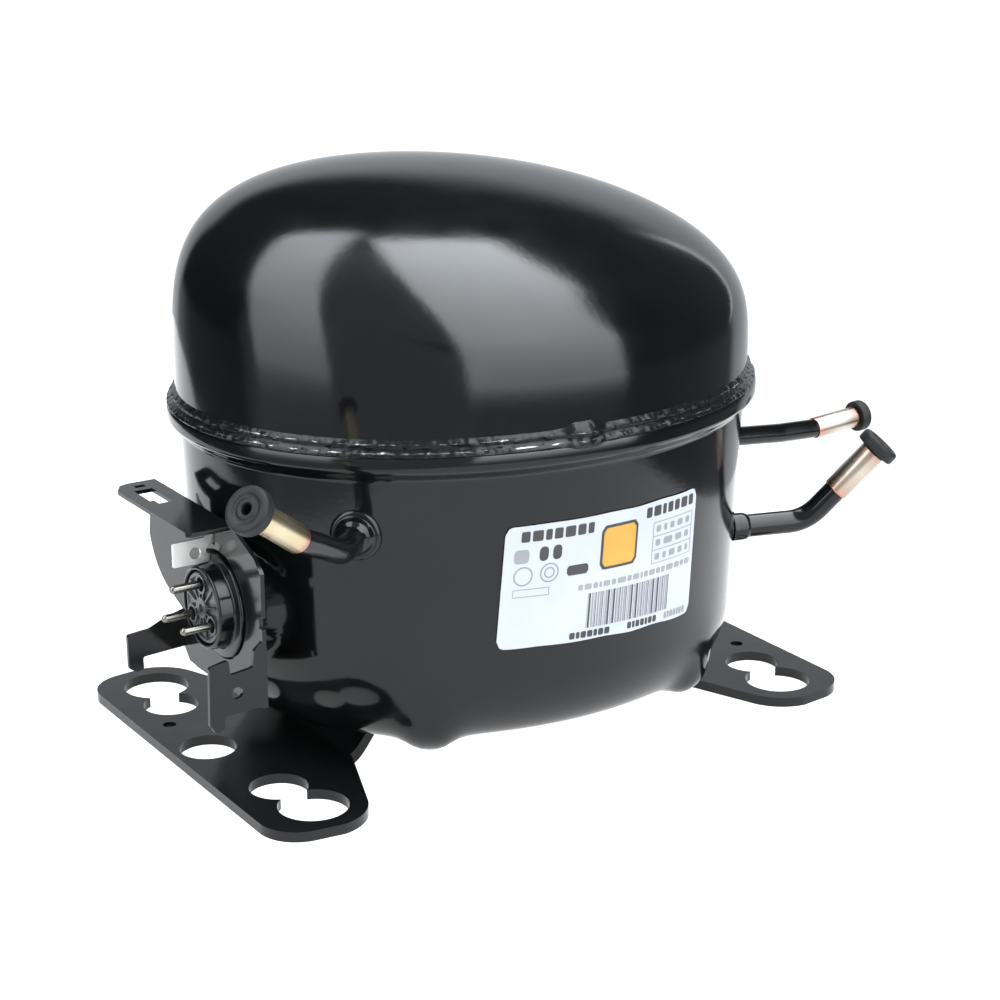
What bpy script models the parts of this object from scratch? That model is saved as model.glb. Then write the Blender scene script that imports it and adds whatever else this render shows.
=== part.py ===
"""Hermetic reciprocating compressor: welded steel shell on two feet, with the sprung pump inside.

Sizes are in millimetres and become metres when a mesh is made.  X runs from the electrical
terminal (-X) to the suction end (+X), Y across, Z up from the underside of the feet.  The sizes
are measured from the centre of the mounting holes, which the empty "hole_pattern" carries.
"""
import bpy
import bmesh
from math import cos, sin, pi, radians
from mathutils import Matrix, Vector

MM = 0.001
GAP = 0.3                       # clearance between pieces that touch

# overall layout: the hole pattern's centre seen from the middle of the bounding box
PATTERN_FROM_MIDDLE = (-14.7, 3.5, 0.0)

# feet
FOOT_THICK = 3.0
FOOT_OUTER_X = 100.3
GROMMET_WIDE = (82.55, 50.8, 10.0)      # x, y, radius: the 165.1 x 101.6 pattern
GROMMET_NARROW = (85.0, 35.0, 8.4)      # x, y, radius: the 170 x 70 pattern
MIDDLE_HOLE = (89.7, 0.0, 8.4)
FOOT_LOBE_R = 15.2
FOOT_CORNER_R = 12.0
FOOT_INNER_X = 57.5             # inner edge, where the sheet bends up under the shell
FOOT_INNER_Y = 28.0
RAMP_END_X = 47.0
RAMP_RISE = 9.0

# shell: half axes along X and Y at each level
SHELL_WALL = 2.6
ROUNDNESS = 2.06                # superellipse exponent of the plan shape
FLOOR_Z = 11.0
FLOOR_CORNER_R = 11.0
LOWER_FOOT = (85.0, 67.4)
LOWER_NECK = (87.4, 72.0)
NECK_Z = 93.0
RIM = (91.2, 75.4)
RIM_Z = (96.6, 100.6)
DOME = (88.6, 72.4)
DOME_Z = 104.5
DOME_H = 54.5
DOME_TILT = (-0.109, 0.30, 0.062)      # growth of the height along x, along y and with x squared
DOME_SIDE_POWER = 2.14
DOME_TOP_POWER = 4.3
SKIRT_Z = 97.6
SEAT_BULGE = (42.0, 48.5)       # x, y of a spring seat's bulge in the floor's corner
SEAT_BULGE_PROFILE = ((0, 3.5), (0.5, 6.5), (2.0, 9.0), (4.6, 10.8), (9.0, 11.4), (20.0, 9.4), (24.0, 8.0))
SHELL_SEGMENTS = 36

# terminal and its bracket
TERMINAL = (-15.3, 52.7)        # y, z of the terminal's axis
BOSS_FACE_X = -90.0
BOSS_R = 17.0
CUP_FACE_X = -97.2
CUP_R = 11.7
CUP_FLANGE_R = 15.3
PIN_CIRCLE_R = 6.9
PIN_R = 1.15
SHEET = 1.2
PLATE_X = -91.5                 # outer face of the bracket's plate
BRACKET_TOP_Z = 78.0
LUG_Y = -41.0
ARM_Y = 8.2
EARTH_Y = -13.0

# tubes: radius, sleeve radius, cap radius
DISCHARGE_R = (3.4, 3.85, 6.4)
SUCTION_R = (3.6, 4.0, 6.4)
PROCESS_R = (3.05, 3.4, 5.0)
TUBE_WALL = 0.9
SLEEVE_LAP = 6.0
DISCHARGE_PATH = ((-61.9, -43.6, 77.5), (-66.0, -48.0, 77.5), (-75.9, -58.6, 77.5), (-94.0, -68.5, 87.4),
                  (-109.6, -75.0, 99.0))
SUCTION_PATH = ((69.8, -34.3, 50.4), (75.4, -36.3, 50.5), (96.9, -44.2, 51.0), (104.3, -49.0, 60.8),
                (113.8, -55.1, 73.4))
PROCESS_PATH = ((80.5, -15.0, 72.9), (86.0, -15.0, 72.5), (110.0, -15.0, 70.1), (124.3, -15.0, 69.4),
                (141.4, -15.0, 70.6))

# pump: everything inside moves on four springs
SPRING_XY = (40.0, 42.0)
SPRING_R = 5.0
SPRING_WIRE_R = 0.8
SPRING_Z = (17.5, 33.0)
STATOR_HALF = (52.0, 48.0)
STATOR_Z = (36.0, 76.0)
BORE_R = 29.0
ROTOR_R = 28.4
SLOT_COUNT = 12
SHAFT_R = 8.0
DECK_Z = (92.0, 99.0)
CRANK_RADIUS = 8.0              # half of the piston's stroke
CRANKPIN_R = 6.0
WEB_Z = (99.4, 105.4)
CYLINDER_Z = 119.0              # height of the cylinder's axis
CYLINDER_X = (24.0, 46.3)
CYLINDER_HALF = 17.0
PISTON_R = 10.7
CYLINDER_BORE_R = 11.0
YOKE_R = (10.8, 13.0)
YOKE_HALF = 19.0
VALVE_PLATE_X = (47.5, 50.5)
HEAD_X = (50.8, 62.8)
HEAD_SCREW_YZ = 13.0

LABEL_ANGLES = (-110.8, -65.4)
LABEL_Z = (41.0, 78.4)


# ---------------------------------------------------------------- helpers
def clear_scene():
    for item in list(bpy.data.objects):
        bpy.data.objects.remove(item, do_unlink=True)


def material(name, colour, roughness, metallic):
    made = bpy.data.materials.new(name)
    made.use_nodes = True
    shader = made.node_tree.nodes["Principled BSDF"]
    shader.inputs["Base Color"].default_value = (*colour, 1.0)
    shader.inputs["Roughness"].default_value = roughness
    shader.inputs["Metallic"].default_value = metallic
    return made


def finish(name, bm, mat, smooth=True):
    """Turn a bmesh in millimetres into an object in metres, faces pointing out."""
    bmesh.ops.recalc_face_normals(bm, faces=bm.faces)
    bmesh.ops.scale(bm, vec=(MM, MM, MM), verts=bm.verts)
    mesh = bpy.data.meshes.new(name)
    bm.to_mesh(mesh)
    bm.free()
    made = bpy.data.objects.new(name, mesh)
    bpy.context.scene.collection.objects.link(made)
    if mat is not None:
        mesh.materials.append(mat)
    if smooth:
        mesh.shade_smooth()
        mesh.set_sharp_from_angle(angle=radians(35))
    return made


def loft(name, rings, mat, closed=False, smooth=True):
    """Skin a list of rings of equal length; closed joins the last ring to the first."""
    bm = bmesh.new()
    rows = [[bm.verts.new(point) for point in ring] for ring in rings]
    count = len(rows[0])
    pairs = list(zip(rows, rows[1:] + rows[:1])) if closed else list(zip(rows, rows[1:]))
    for low, high in pairs:
        for i in range(count):
            j = (i + 1) % count
            bm.faces.new((low[i], low[j], high[j], high[i]))
    if not closed:
        bm.faces.new(rows[0])
        bm.faces.new(rows[-1])
    return finish(name, bm, mat, smooth)


def frame_along(axis):
    """Two unit vectors square to the axis."""
    axis = Vector(axis).normalized()
    helper = Vector((0, 0, 1)) if abs(axis.z) < 0.9 else Vector((1, 0, 0))
    side = axis.cross(helper).normalized()
    return axis, side, axis.cross(side)


def turned(name, profile, centre, axis, mat, closed=False, segments=20):
    """A turned piece: profile is (distance along the axis, radius); closed makes it a ring."""
    axis, side, up = frame_along(axis)
    centre = Vector(centre)
    rings = []
    for along, radius in profile:
        ring = []
        for i in range(segments):
            angle = 2 * pi * i / segments
            ring.append(centre + axis * along + (side * cos(angle) + up * sin(angle)) * radius)
        rings.append(ring)
    return loft(name, rings, mat, closed)


def prism(name, outline, low, high, mat, plane="XY"):
    """Extrude an outline; plane says which axes the outline's two numbers are."""
    def place(pair, depth):
        if plane == "XY":
            return (pair[0], pair[1], depth)
        if plane == "YZ":
            return (depth, pair[0], pair[1])
        return (pair[0], depth, pair[1])
    rings = [[place(pair, depth) for pair in outline] for depth in (low, high)]
    return loft(name, rings, mat, smooth=False)


def block(name, low, high, mat):
    outline = ((low[0], low[1]), (high[0], low[1]), (high[0], high[1]), (low[0], high[1]))
    return prism(name, outline, low[2], high[2], mat)


def rod(name, start, end, radius, mat, segments=20):
    start, end = Vector(start), Vector(end)
    return turned(name, ((0, radius), ((end - start).length, radius)), start, end - start, mat,
                  segments=segments)


def combine(target, tools, operation="UNION"):
    """Apply exact booleans to the target and remove the tools."""
    for tool in tools:
        tool.hide_render = True
        tool.display_type = "WIRE"
        step = target.modifiers.new("join", "BOOLEAN")
        step.operation = operation
        step.solver = "EXACT"
        step.object = tool
        view = bpy.context.evaluated_depsgraph_get()
        view.update()
        result = bpy.data.meshes.new_from_object(target.evaluated_get(view))
        old = target.data
        target.modifiers.clear()
        target.data = result
        result.name = target.name
        bpy.data.meshes.remove(old)
        bpy.data.objects.remove(tool, do_unlink=True)
    return target


def cut(target, *tools):
    return combine(target, tools, "DIFFERENCE")


def join(target, *tools):
    return combine(target, tools, "UNION")


def arc(centre, radius, start, end, steps):
    """Points on a circle from start to end, in degrees."""
    points = []
    for i in range(steps + 1):
        angle = radians(start + (end - start) * i / steps)
        points.append((centre[0] + radius * cos(angle), centre[1] + radius * sin(angle)))
    return points


def power(value, exponent):
    return (abs(value) ** exponent) * (1 if value >= 0 else -1)


def plan_point(half, angle):
    """A point of the shell's plan shape, for half axes and an angle parameter."""
    return (half[0] * power(cos(angle), 2 / ROUNDNESS), half[1] * power(sin(angle), 2 / ROUNDNESS))


def plan_ring(half, z, segments=SHELL_SEGMENTS):
    ring = []
    for i in range(segments):
        x, y = plan_point(half, 2 * pi * (i + 0.5) / segments)
        ring.append((x, y, z))
    return ring


def inset(half, amount):
    return (half[0] - amount, half[1] - amount)


def rounded_path(points, radius, steps=4):
    """Round the inner corners of a path."""
    points = [Vector(point) for point in points]
    path = [points[0]]
    for before, corner, after in zip(points, points[1:], points[2:]):
        back = (before - corner)
        ahead = (after - corner)
        turn = back.angle(ahead)
        reach = min(radius / max(0.05, abs(sin(turn / 2) / cos(turn / 2))), back.length * 0.45,
                    ahead.length * 0.45)
        first = corner + back.normalized() * reach
        last = corner + ahead.normalized() * reach
        if reach < 0.4:
            path.append(corner)
            continue
        for i in range(steps + 1):
            t = i / steps
            path.append(first * (1 - t) ** 2 + corner * 2 * t * (1 - t) + last * t ** 2)
    path.append(points[-1])
    return path


def sweep_rings(path, radius, sides):
    """Rings square to a path, turned as little as possible from one to the next."""
    rings = []
    side = None
    for i, point in enumerate(path):
        ahead = path[min(i + 1, len(path) - 1)] - path[max(i - 1, 0)]
        axis = ahead.normalized()
        if side is None:
            side = frame_along(axis)[1]
        side = (side - axis * side.dot(axis)).normalized()
        up = axis.cross(side)
        rings.append([point + (side * cos(2 * pi * k / sides) + up * sin(2 * pi * k / sides)) * radius
                      for k in range(sides)])
    return rings


def hollow_sweep(name, path, radius, wall, mat, sides=12):
    outer = sweep_rings(path, radius, sides)
    inner = sweep_rings(path, radius - wall, sides)
    return loft(name, outer + inner[::-1], mat, closed=True)


# ---------------------------------------------------------------- shell
def lower_outer_levels(offset=0.0):
    """(half axes, z) of the lower shell's outside, from the floor to the rim."""
    corner = FLOOR_CORNER_R
    levels = [(inset(LOWER_FOOT, corner + 34), FLOOR_Z - offset)]
    for step in range(4):
        angle = pi / 2 * step / 3
        levels.append((inset(LOWER_FOOT, corner * (1 - sin(angle)) - offset),
                       FLOOR_Z + corner * (1 - cos(angle)) - offset * cos(angle)))
    levels.append((inset(LOWER_NECK, -offset), NECK_Z))
    return levels


def lower_shell(mat):
    outer = lower_outer_levels() + [(RIM, RIM_Z[0]), (RIM, RIM_Z[1])]
    shell = loft("lower_shell", [plan_ring(half, z) for half, z in outer], mat)
    join(shell, rod("boss", (-78, *TERMINAL), (BOSS_FACE_X, *TERMINAL), BOSS_R, None, 28))
    for sx in (-1, 1):
        for sy in (-1, 1):
            join(shell, turned("bulge", SEAT_BULGE_PROFILE, (sx * SEAT_BULGE[0], sy * SEAT_BULGE[1], FLOOR_Z - 1),
                               (0, 0, 1), None, segments=14))
    inner = lower_outer_levels(-SHELL_WALL)
    inner[-1] = (inset(LOWER_NECK, SHELL_WALL), NECK_Z + 1.5)
    inner += [(inset(DOME, -0.4), SKIRT_Z - GAP), (inset(DOME, -0.4), RIM_Z[1] + 2)]
    cut(shell, loft("cavity", [plan_ring(half, z) for half, z in inner], None))
    cut(shell, rod("terminal_hole", (-96, *TERMINAL), (-68, *TERMINAL), CUP_R + 0.4, None, 28))
    for path, radii in ((DISCHARGE_PATH, DISCHARGE_R), (SUCTION_PATH, SUCTION_R),
                        (PROCESS_PATH, PROCESS_R)):
        start, root = Vector(path[0]), Vector(path[1])
        axis = (root - start).normalized()
        cut(shell, rod("tube_hole", start - axis * 6, root + axis * 8, radii[0] + GAP, None, 14))
    return shell


def dome_ring(turn, inward, segments=SHELL_SEGMENTS):
    """One level of the dome; turn runs from 0 at the rim to 90 degrees at the top."""
    spread = cos(turn) ** (2 / DOME_SIDE_POWER)
    rise = sin(turn) ** (2 / DOME_TOP_POWER)
    ring = []
    for x, y, _ in plan_ring(inset(DOME, inward), 0, segments):
        u, v = x * spread / DOME[0], y * spread / DOME[1]
        swell = 1 + DOME_TILT[0] * u + DOME_TILT[1] * v + DOME_TILT[2] * u * u
        ring.append((x * spread, y * spread, DOME_Z + rise * (DOME_H - inward) * swell))
    return ring


def upper_shell(mat):
    turns = [radians(a) for a in (0.4, 2, 7, 17, 31, 48, 66, 80)]
    outer = [plan_ring(DOME, SKIRT_Z)] + [dome_ring(turn, 0) for turn in turns]
    inner = [plan_ring(inset(DOME, SHELL_WALL), SKIRT_Z)]
    inner += [dome_ring(turn, SHELL_WALL) for turn in turns[1:]]
    return loft("upper_shell", outer[::-1] + inner, mat)


def weld_bead(mat):
    profile = ((-0.35, 100.9), (RIM[0] - DOME[0] - 0.2, 100.9), (RIM[0] - DOME[0] + 0.1, 102.2),
               (RIM[0] - DOME[0] - 0.6, 103.9), (1.0, 105.0), (-0.35, 104.9))
    rings = [plan_ring(inset(DOME, -max(out, 0.35)), z) for out, z in profile]
    return loft("weld_bead", rings, mat, closed=True)


# ---------------------------------------------------------------- feet
def foot_outline():
    """Plan outline of the left foot, counter-clockwise from the inner edge."""
    x, y, _ = GROMMET_WIDE
    corner = (-FOOT_OUTER_X + FOOT_CORNER_R, y + 2.2)
    upper = arc((-x, y), FOOT_LOBE_R, 22, 84, 6)
    upper += arc(corner, FOOT_CORNER_R, 96, 180, 6)
    lower = [(px, -py) for px, py in reversed(upper)]
    inner = [(-FOOT_INNER_X, -FOOT_INNER_Y), (-FOOT_INNER_X, FOOT_INNER_Y)]
    return inner + upper + lower


def ramp_profile(steps=5):
    """Section of the foot's middle, which bends up from the inner edge to the shell's floor."""
    start = -FOOT_INNER_X - 2.0
    run = start + RAMP_END_X
    top, under = [(start - 3.0, FOOT_THICK)], [(start - 3.0, 0.0)]
    for i in range(steps + 1):
        t = i / steps
        x = start - run * t
        rise = RAMP_RISE * t * t * (2 - t)
        slope = RAMP_RISE * (4 * t - 3 * t * t) / -run
        top.append((x, FOOT_THICK + rise))
        under.append((x, FOOT_THICK + rise - FOOT_THICK * (1 + slope * slope) ** 0.5))
    return top + under[::-1]


def base_plate(name, side, mat):
    plate = prism(name, foot_outline(), 0, FOOT_THICK, mat)
    half = FOOT_INNER_Y - 0.4
    join(plate, prism("ramp", ramp_profile(), -half, half, None, "XZ"))
    levels = lower_outer_levels(0.35)
    cut(plate, loft("shell_space", [plan_ring(half, z) for half, z in levels], None))
    for sy in (-1, 1):
        for x, y, radius in (GROMMET_WIDE, GROMMET_NARROW):
            cut(plate, rod("grommet_hole", (-x, y * sy, -2), (-x, y * sy, 6), radius, None, 22))
    if side < 0:
        x, y, radius = MIDDLE_HOLE
        cut(plate, rod("middle_hole", (-x, y, -2), (-x, y, 6), radius, None, 26))
        cut(plate, rod("small_hole", (-92.1, 21.0, -2), (-92.1, 21.0, 6), 2.0, None, 12))
        return plate
    cut(plate, rod("small_hole", (-90.8, -20.2, -2), (-90.8, -20.2, 6), 2.0, None, 12))
    plate.data.transform(Matrix.Scale(-1, 4, (1, 0, 0)))
    plate.data.flip_normals()
    return plate


# ---------------------------------------------------------------- terminal side
def terminal_bracket(mat):
    """Sheet-metal bracket: a plate round the terminal with a top flange, a lug and an arm."""
    lobe = arc((10.0, 66.0), 20.5, -68, -14, 6)
    outline = [(27.0, BRACKET_TOP_Z), (-24.0, BRACKET_TOP_Z), (-37.6, 72.4), (LUG_Y, 69.0), (LUG_Y, 30.4),
               (-34.0, 29.0), (-0.7, 28.2), (5.8, 28.6), (ARM_Y + SHEET, 32.5), (ARM_Y + SHEET, 43.8)]
    outline += lobe
    bracket = prism("terminal_bracket", outline, PLATE_X, PLATE_X + SHEET, mat, "YZ")
    flange = [(PLATE_X + SHEET, -24.0), (-103.2, -24.0), (-104.2, -22.5), (-104.2, 22.0), (-101.8, 26.0),
              (-99.0, 27.0), (PLATE_X + SHEET, 27.0)]
    join(bracket, prism("flange", flange, BRACKET_TOP_Z - SHEET, BRACKET_TOP_Z, None))
    lug = [(PLATE_X + SHEET, 50.8), (-94.0, 47.8), (-94.7, 43.0), (-101.4, 42.2), (-101.8, 46.7),
           (-107.6, 45.6), (-108.0, 29.0), (-106.2, 26.1), (-103.6, 27.0), (-103.4, 30.7), (-94.0, 31.0),
           (PLATE_X + SHEET, 30.4)]
    join(bracket, prism("lug", lug, LUG_Y, LUG_Y + SHEET, None, "XZ"))
    arm = [(PLATE_X + SHEET, 43.8), (-96.5, 42.3), (-102.3, 39.8), (-109.4, 39.2), (-109.4, 29.1),
           (-107.0, 27.6), (-104.8, 28.1), (-104.9, 31.8), (PLATE_X + SHEET, 32.5)]
    join(bracket, prism("arm", arm, ARM_Y, ARM_Y + SHEET, None, "XZ"))
    cut(bracket,
        rod("terminal_window", (-95, *TERMINAL), (-88, *TERMINAL), CUP_FLANGE_R + 0.5, None, 28),
        block("flange_slot", (-100.4, 5.0, 74), (-94.8, 19.2, 80), None),
        rod("lug_hole", (-99.5, -44, 36.7), (-99.5, -38, 36.7), 1.7, None, 12),
        block("earth_slot", (-93, EARTH_Y - 0.9, 69.6), (-89, EARTH_Y + SHEET + 0.7, 75.0), None))
    return bracket


def earth_tab(mat):
    """Flat earth blade that stands out of the bracket through a slot above the terminal."""
    outline = [(-103.9, 65.0), (-92.9, 65.0), (-92.9, 66.6), (-94.0, 67.4), (-94.0, 69.4), (-92.9, 70.2),
               (-90.7, 70.2), (-90.7, 74.2), (-92.8, 74.2), (-94.2, 72.2), (-103.9, 72.0)]
    tab = prism("earth_tab", outline, EARTH_Y - 0.1, EARTH_Y + 0.7, mat, "XZ")
    return cut(tab, rod("eye", (-97.6, EARTH_Y - 3, 68.2), (-97.6, EARTH_Y + 3, 68.2), 1.6, None, 12))


def pin_places():
    for turn in (90, 210, 330):
        angle = radians(turn)
        yield TERMINAL[0] + PIN_CIRCLE_R * cos(angle), TERMINAL[1] + PIN_CIRCLE_R * sin(angle)


def terminal_cup(mat):
    """Steel body of the sealed terminal: a flanged cup with one eye for each pin."""
    cup = turned("terminal_cup",
                 ((0, CUP_R), (17.2 - 6.9, CUP_R), (17.2 - 6.9, CUP_FLANGE_R), (12.4, CUP_FLANGE_R),
                  (12.7, 12.3), (16.9, 11.9), (17.2, 11.1), (17.0, 10.7), (14.6, 10.6)),
                 (-80.0, *TERMINAL), (-1, 0, 0), mat, segments=20)
    for y, z in pin_places():
        cut(cup, rod("pin_eye", (-100, y, z), (-76, y, z), PIN_R + GAP, None, 8))
    return cup


def terminal_disc(mat):
    """Grey moulded disc that fills the cup's mouth, with three round eyes."""
    disc = turned("terminal_disc", ((-14.9, 0.6), (-14.9, 10.3), (-16.6, 10.3), (-17.2, 9.6), (-17.2, 0.6)),
                  (-80.0, *TERMINAL), (1, 0, 0), mat, closed=True, segments=18)
    for y, z in pin_places():
        cut(disc, rod("pin_eye", (-100, y, z), (-76, y, z), PIN_R + GAP, None, 8))
    return disc


def terminal_pins(mat):
    for index, (y, z) in enumerate(pin_places(), start=1):
        turned(f"terminal_pin_{index}", ((0, 0.8), (0.6, PIN_R), (31.6, PIN_R), (32.4, 0.7)),
               (-74.0, y, z), (-1, 0, 0), mat, segments=10)


# ---------------------------------------------------------------- tubes
def tube_set(name, path, radii, bend, mats):
    """A shell tube with its braze ring, bright sleeve and rubber travel cap."""
    tube_mat, braze_mat, sleeve_mat, cap_mat = mats
    tube_r, sleeve_r, cap_r = radii
    start, root = Vector(path[0]), Vector(path[1])
    sleeve_start, sleeve_end = Vector(path[-2]), Vector(path[-1])
    out = (sleeve_end - sleeve_start).normalized()
    route = [start, *[Vector(point) for point in path[2:-1]], sleeve_start + out * SLEEVE_LAP]
    hollow_sweep(f"{name}_tube", rounded_path(route, bend), tube_r, TUBE_WALL, tube_mat)
    length = (sleeve_end - sleeve_start).length
    bore = tube_r - TUBE_WALL
    turned(f"{name}_sleeve",
           ((0, tube_r + 0.2), (0, sleeve_r), (length, sleeve_r), (length, bore),
            (SLEEVE_LAP + GAP, bore), (SLEEVE_LAP + GAP, tube_r + 0.2)),
           sleeve_start, out, sleeve_mat, closed=True, segments=14)
    leave = (root - start).normalized()
    turned(f"{name}_braze_ring",
           ((0.75, tube_r + 0.25), (0.75, tube_r + 2.4), (1.6, tube_r + 2.3), (3.0, tube_r + 1.0),
            (3.6, tube_r + 0.25)),
           root, leave, braze_mat, closed=True, segments=14)
    turned(f"{name}_cap",
           ((-6.0, bore - 0.7), (-5.4, bore - GAP), (GAP, bore - GAP), (GAP, cap_r - 0.3), (0.8, cap_r),
            (3.4, cap_r), (4.1, cap_r - 0.7), (4.1, 1.5), (-2.0, 1.4)),
           sleeve_end, out, cap_mat, segments=16)


def label(mat):
    """Rating label wrapped round the front of the lower shell; a thin curved sheet."""
    columns = 14
    rings = []
    for z in (LABEL_Z[0], LABEL_Z[1]):
        share = (z - FLOOR_Z - FLOOR_CORNER_R) / (NECK_Z - FLOOR_Z - FLOOR_CORNER_R)
        half = (LOWER_FOOT[0] + (LOWER_NECK[0] - LOWER_FOOT[0]) * share,
                LOWER_FOOT[1] + (LOWER_NECK[1] - LOWER_FOOT[1]) * share)
        inside, outside = [], []
        for i in range(columns + 1):
            angle = radians(LABEL_ANGLES[0] + (LABEL_ANGLES[1] - LABEL_ANGLES[0]) * i / columns)
            inside.append((*plan_point(inset(half, -0.35), angle), z))
            outside.append((*plan_point(inset(half, -0.6), angle), z))
        rings.append(inside + outside[::-1])
    return loft("label", rings, mat, smooth=False)


# ---------------------------------------------------------------- motor
def stator(mat):
    x, y = STATOR_HALF
    c = 9.0
    outline = [(x, -y + c), (x, y - c), (x - c, y), (-x + c, y), (-x, y - c), (-x, -y + c), (-x + c, -y),
               (x - c, -y)]
    core = prism("stator_core", outline, *STATOR_Z, mat)
    slots = []
    pitch = 360 / SLOT_COUNT
    for i in range(SLOT_COUNT):
        middle = i * pitch
        slots += arc((0, 0), BORE_R, middle - pitch / 2, middle - 3.0, 2)
        slots += arc((0, 0), 42.0, middle - 7.0, middle + 7.0, 1)
        slots += arc((0, 0), BORE_R, middle + 3.0, middle + pitch / 2 - 0.01, 1)[:1]
    return cut(core, prism("bore", slots, STATOR_Z[0] - 5, STATOR_Z[1] + 5, None))


def winding(mat):
    """Copper winding: bars through the slots, joined by a ring of end turns at each end."""
    low, high = STATOR_Z
    coil = turned("stator_winding",
                  ((high + 0.4, 31.0), (high + 0.4, 42.0), (high + 9, 43.0), (high + 11, 40.0),
                   (high + 11, 34.0), (high + 8, 31.0)), (0, 0, 0), (0, 0, 1), mat, closed=True, segments=24)
    lower = turned("end_turns", ((low - 0.4, 31.0), (low - 0.4, 42.0), (low - 8, 42.5), (low - 10, 40.0),
                                 (low - 10, 34.0), (low - 7, 31.0)), (0, 0, 0), (0, 0, 1), None,
                   closed=True, segments=24)
    bars = []
    for i in range(SLOT_COUNT):
        turn = Matrix.Rotation(2 * pi * i / SLOT_COUNT, 4, "Z")
        bar = block("bar", (33.0, -2.2, low - 2), (41.0, 2.2, high + 2), None)
        bar.data.transform(turn)
        bars.append(bar)
    return join(coil, *bars, lower)


def rotor(mat):
    low, high = STATOR_Z
    return turned("rotor", ((low + 1, SHAFT_R + GAP), (low + 1, 20.0), (low - 2, 20.5), (low - 2, 26.5),
                            (low, ROTOR_R), (high, ROTOR_R), (high + 1.5, 26.5), (high + 1.5, 20.5),
                            (high - 1, 20.0), (high - 1, SHAFT_R + GAP)),
                  (0, 0, 0), (0, 0, 1), mat, closed=True, segments=24)


# ---------------------------------------------------------------- pump
def cylinder_block(mat):
    x, y = 46.0, 40.0
    c = 12.0
    outline = [(x, -y + c), (x, y - c), (x - c, y), (-x + c, y), (-x, y - c), (-x, -y + c), (-x + c, -y),
               (x - c, -y)]
    body = prism("cylinder_block", outline, *DECK_Z, mat)
    low, high = CYLINDER_Z - CYLINDER_HALF, CYLINDER_Z + CYLINDER_HALF
    c = 8.0
    section = [(-CYLINDER_HALF, DECK_Z[1] - 2), (CYLINDER_HALF, DECK_Z[1] - 2), (CYLINDER_HALF, high - c),
               (CYLINDER_HALF - c, high), (-CYLINDER_HALF + c, high), (-CYLINDER_HALF, high - c)]
    join(body, prism("barrel", section, *CYLINDER_X, None, "YZ"),
         rod("hub", (0, 0, 79), (0, 0, DECK_Z[0] + 2), 13.0, None, 24))
    for sx in (-1, 1):
        for sy in (-1, 1):
            foot = (sx * 38.5, sy * 33.0)
            join(body, block("leg", (foot[0] - 6, foot[1] - 5, STATOR_Z[1] + GAP),
                             (foot[0] + 6, foot[1] + 5, DECK_Z[0] + 1), None))
    cut(body, rod("main_bearing", (0, 0, 70), (0, 0, 110), SHAFT_R + GAP, None, 24),
        rod("bore", (20, 0, CYLINDER_Z), (50, 0, CYLINDER_Z), CYLINDER_BORE_R, None, 28))
    for y, z in head_screw_places():
        cut(body, rod("screw_hole", (36, y, z), (50, y, z), 2.4, None, 8))
    return body


def head_screw_places():
    for sy in (-1, 1):
        for sz in (-1, 1):
            yield sy * HEAD_SCREW_YZ, CYLINDER_Z + sz * HEAD_SCREW_YZ


def crankshaft(mat):
    """Vertical shaft, web with counterweight and crankpin; the pin points to +X."""
    shaft = turned("crankshaft", ((30.0, SHAFT_R - 0.6), (30.6, SHAFT_R), (WEB_Z[0] + 1, SHAFT_R)),
                   (0, 0, 0), (0, 0, 1), mat, segments=24)
    web = arc((CRANK_RADIUS, 0), CRANKPIN_R + 2.5, -70, 70, 6) + arc((0, 0), 21.5, 125, 235, 8)
    pin = turned("pin", ((WEB_Z[1] - 1, CRANKPIN_R), (130.2, CRANKPIN_R), (131.0, CRANKPIN_R - 0.8)),
                 (CRANK_RADIUS, 0, 0), (0, 0, 1), None, segments=24)
    join(shaft, prism("web", web, *WEB_Z, None), pin)
    cut(shaft, rod("gallery", (CRANK_RADIUS / 2, 0, 20), (CRANK_RADIUS / 2, 0, 40), 2.8, None, 16))
    return shaft


def gallery_plug(mat):
    """Plug of the shaft's oil gallery; it lies half a crank radius from the shaft's axis."""
    return turned("oil_gallery_plug", ((31.0, 2.2), (31.4, 2.5), (39.0, 2.5), (39.6, 2.1)),
                  (CRANK_RADIUS / 2, 0, 0), (0, 0, 1), mat, segments=14)


def oil_pickup(mat):
    return turned("oil_pickup", ((20.0, 1.4), (20.0, 2.4), (25.0, 5.0), (29.7, 5.0), (29.7, 4.0), (25.0, 4.0)),
                  (0, 0, 0), (0, 0, 1), mat, closed=True, segments=12)


def slide_block(mat):
    centre = (CRANK_RADIUS, 0, CYLINDER_Z)
    shoe = rod("slide_block", (centre[0], -9, centre[2]), (centre[0], 9, centre[2]), 10.5, mat, 24)
    return cut(shoe, rod("pin_bore", (centre[0], 0, 100), (centre[0], 0, 140), CRANKPIN_R + GAP, None, 24))


def piston(mat):
    """Piston with the cross tube of the yoke that the slide block works in; at top dead centre."""
    x = CRANK_RADIUS
    head = turned("piston", ((0, PISTON_R), (CYLINDER_X[1] - 20.6 - 0.5, PISTON_R),
                             (CYLINDER_X[1] - 20.6 - 0.3, PISTON_R - 0.3)),
                  (20.6, 0, CYLINDER_Z), (1, 0, 0), mat, segments=24)
    tube = rod("yoke", (x, -YOKE_HALF, CYLINDER_Z), (x, YOKE_HALF, CYLINDER_Z), YOKE_R[1], None, 20)
    join(head, rod("neck", (x + 2, 0, CYLINDER_Z), (22, 0, CYLINDER_Z), 9.0, None, 20), tube)
    slot = [*arc((x, 15.0 - 7.0), 7.0, 0, 180, 8), *arc((x, -15.0 + 7.0), 7.0, 180, 360, 8)]
    cut(head, rod("yoke_bore", (x, -25, CYLINDER_Z), (x, 25, CYLINDER_Z), YOKE_R[0], None, 20),
        prism("pin_slot", slot, 100, 140, None))
    return head


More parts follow.
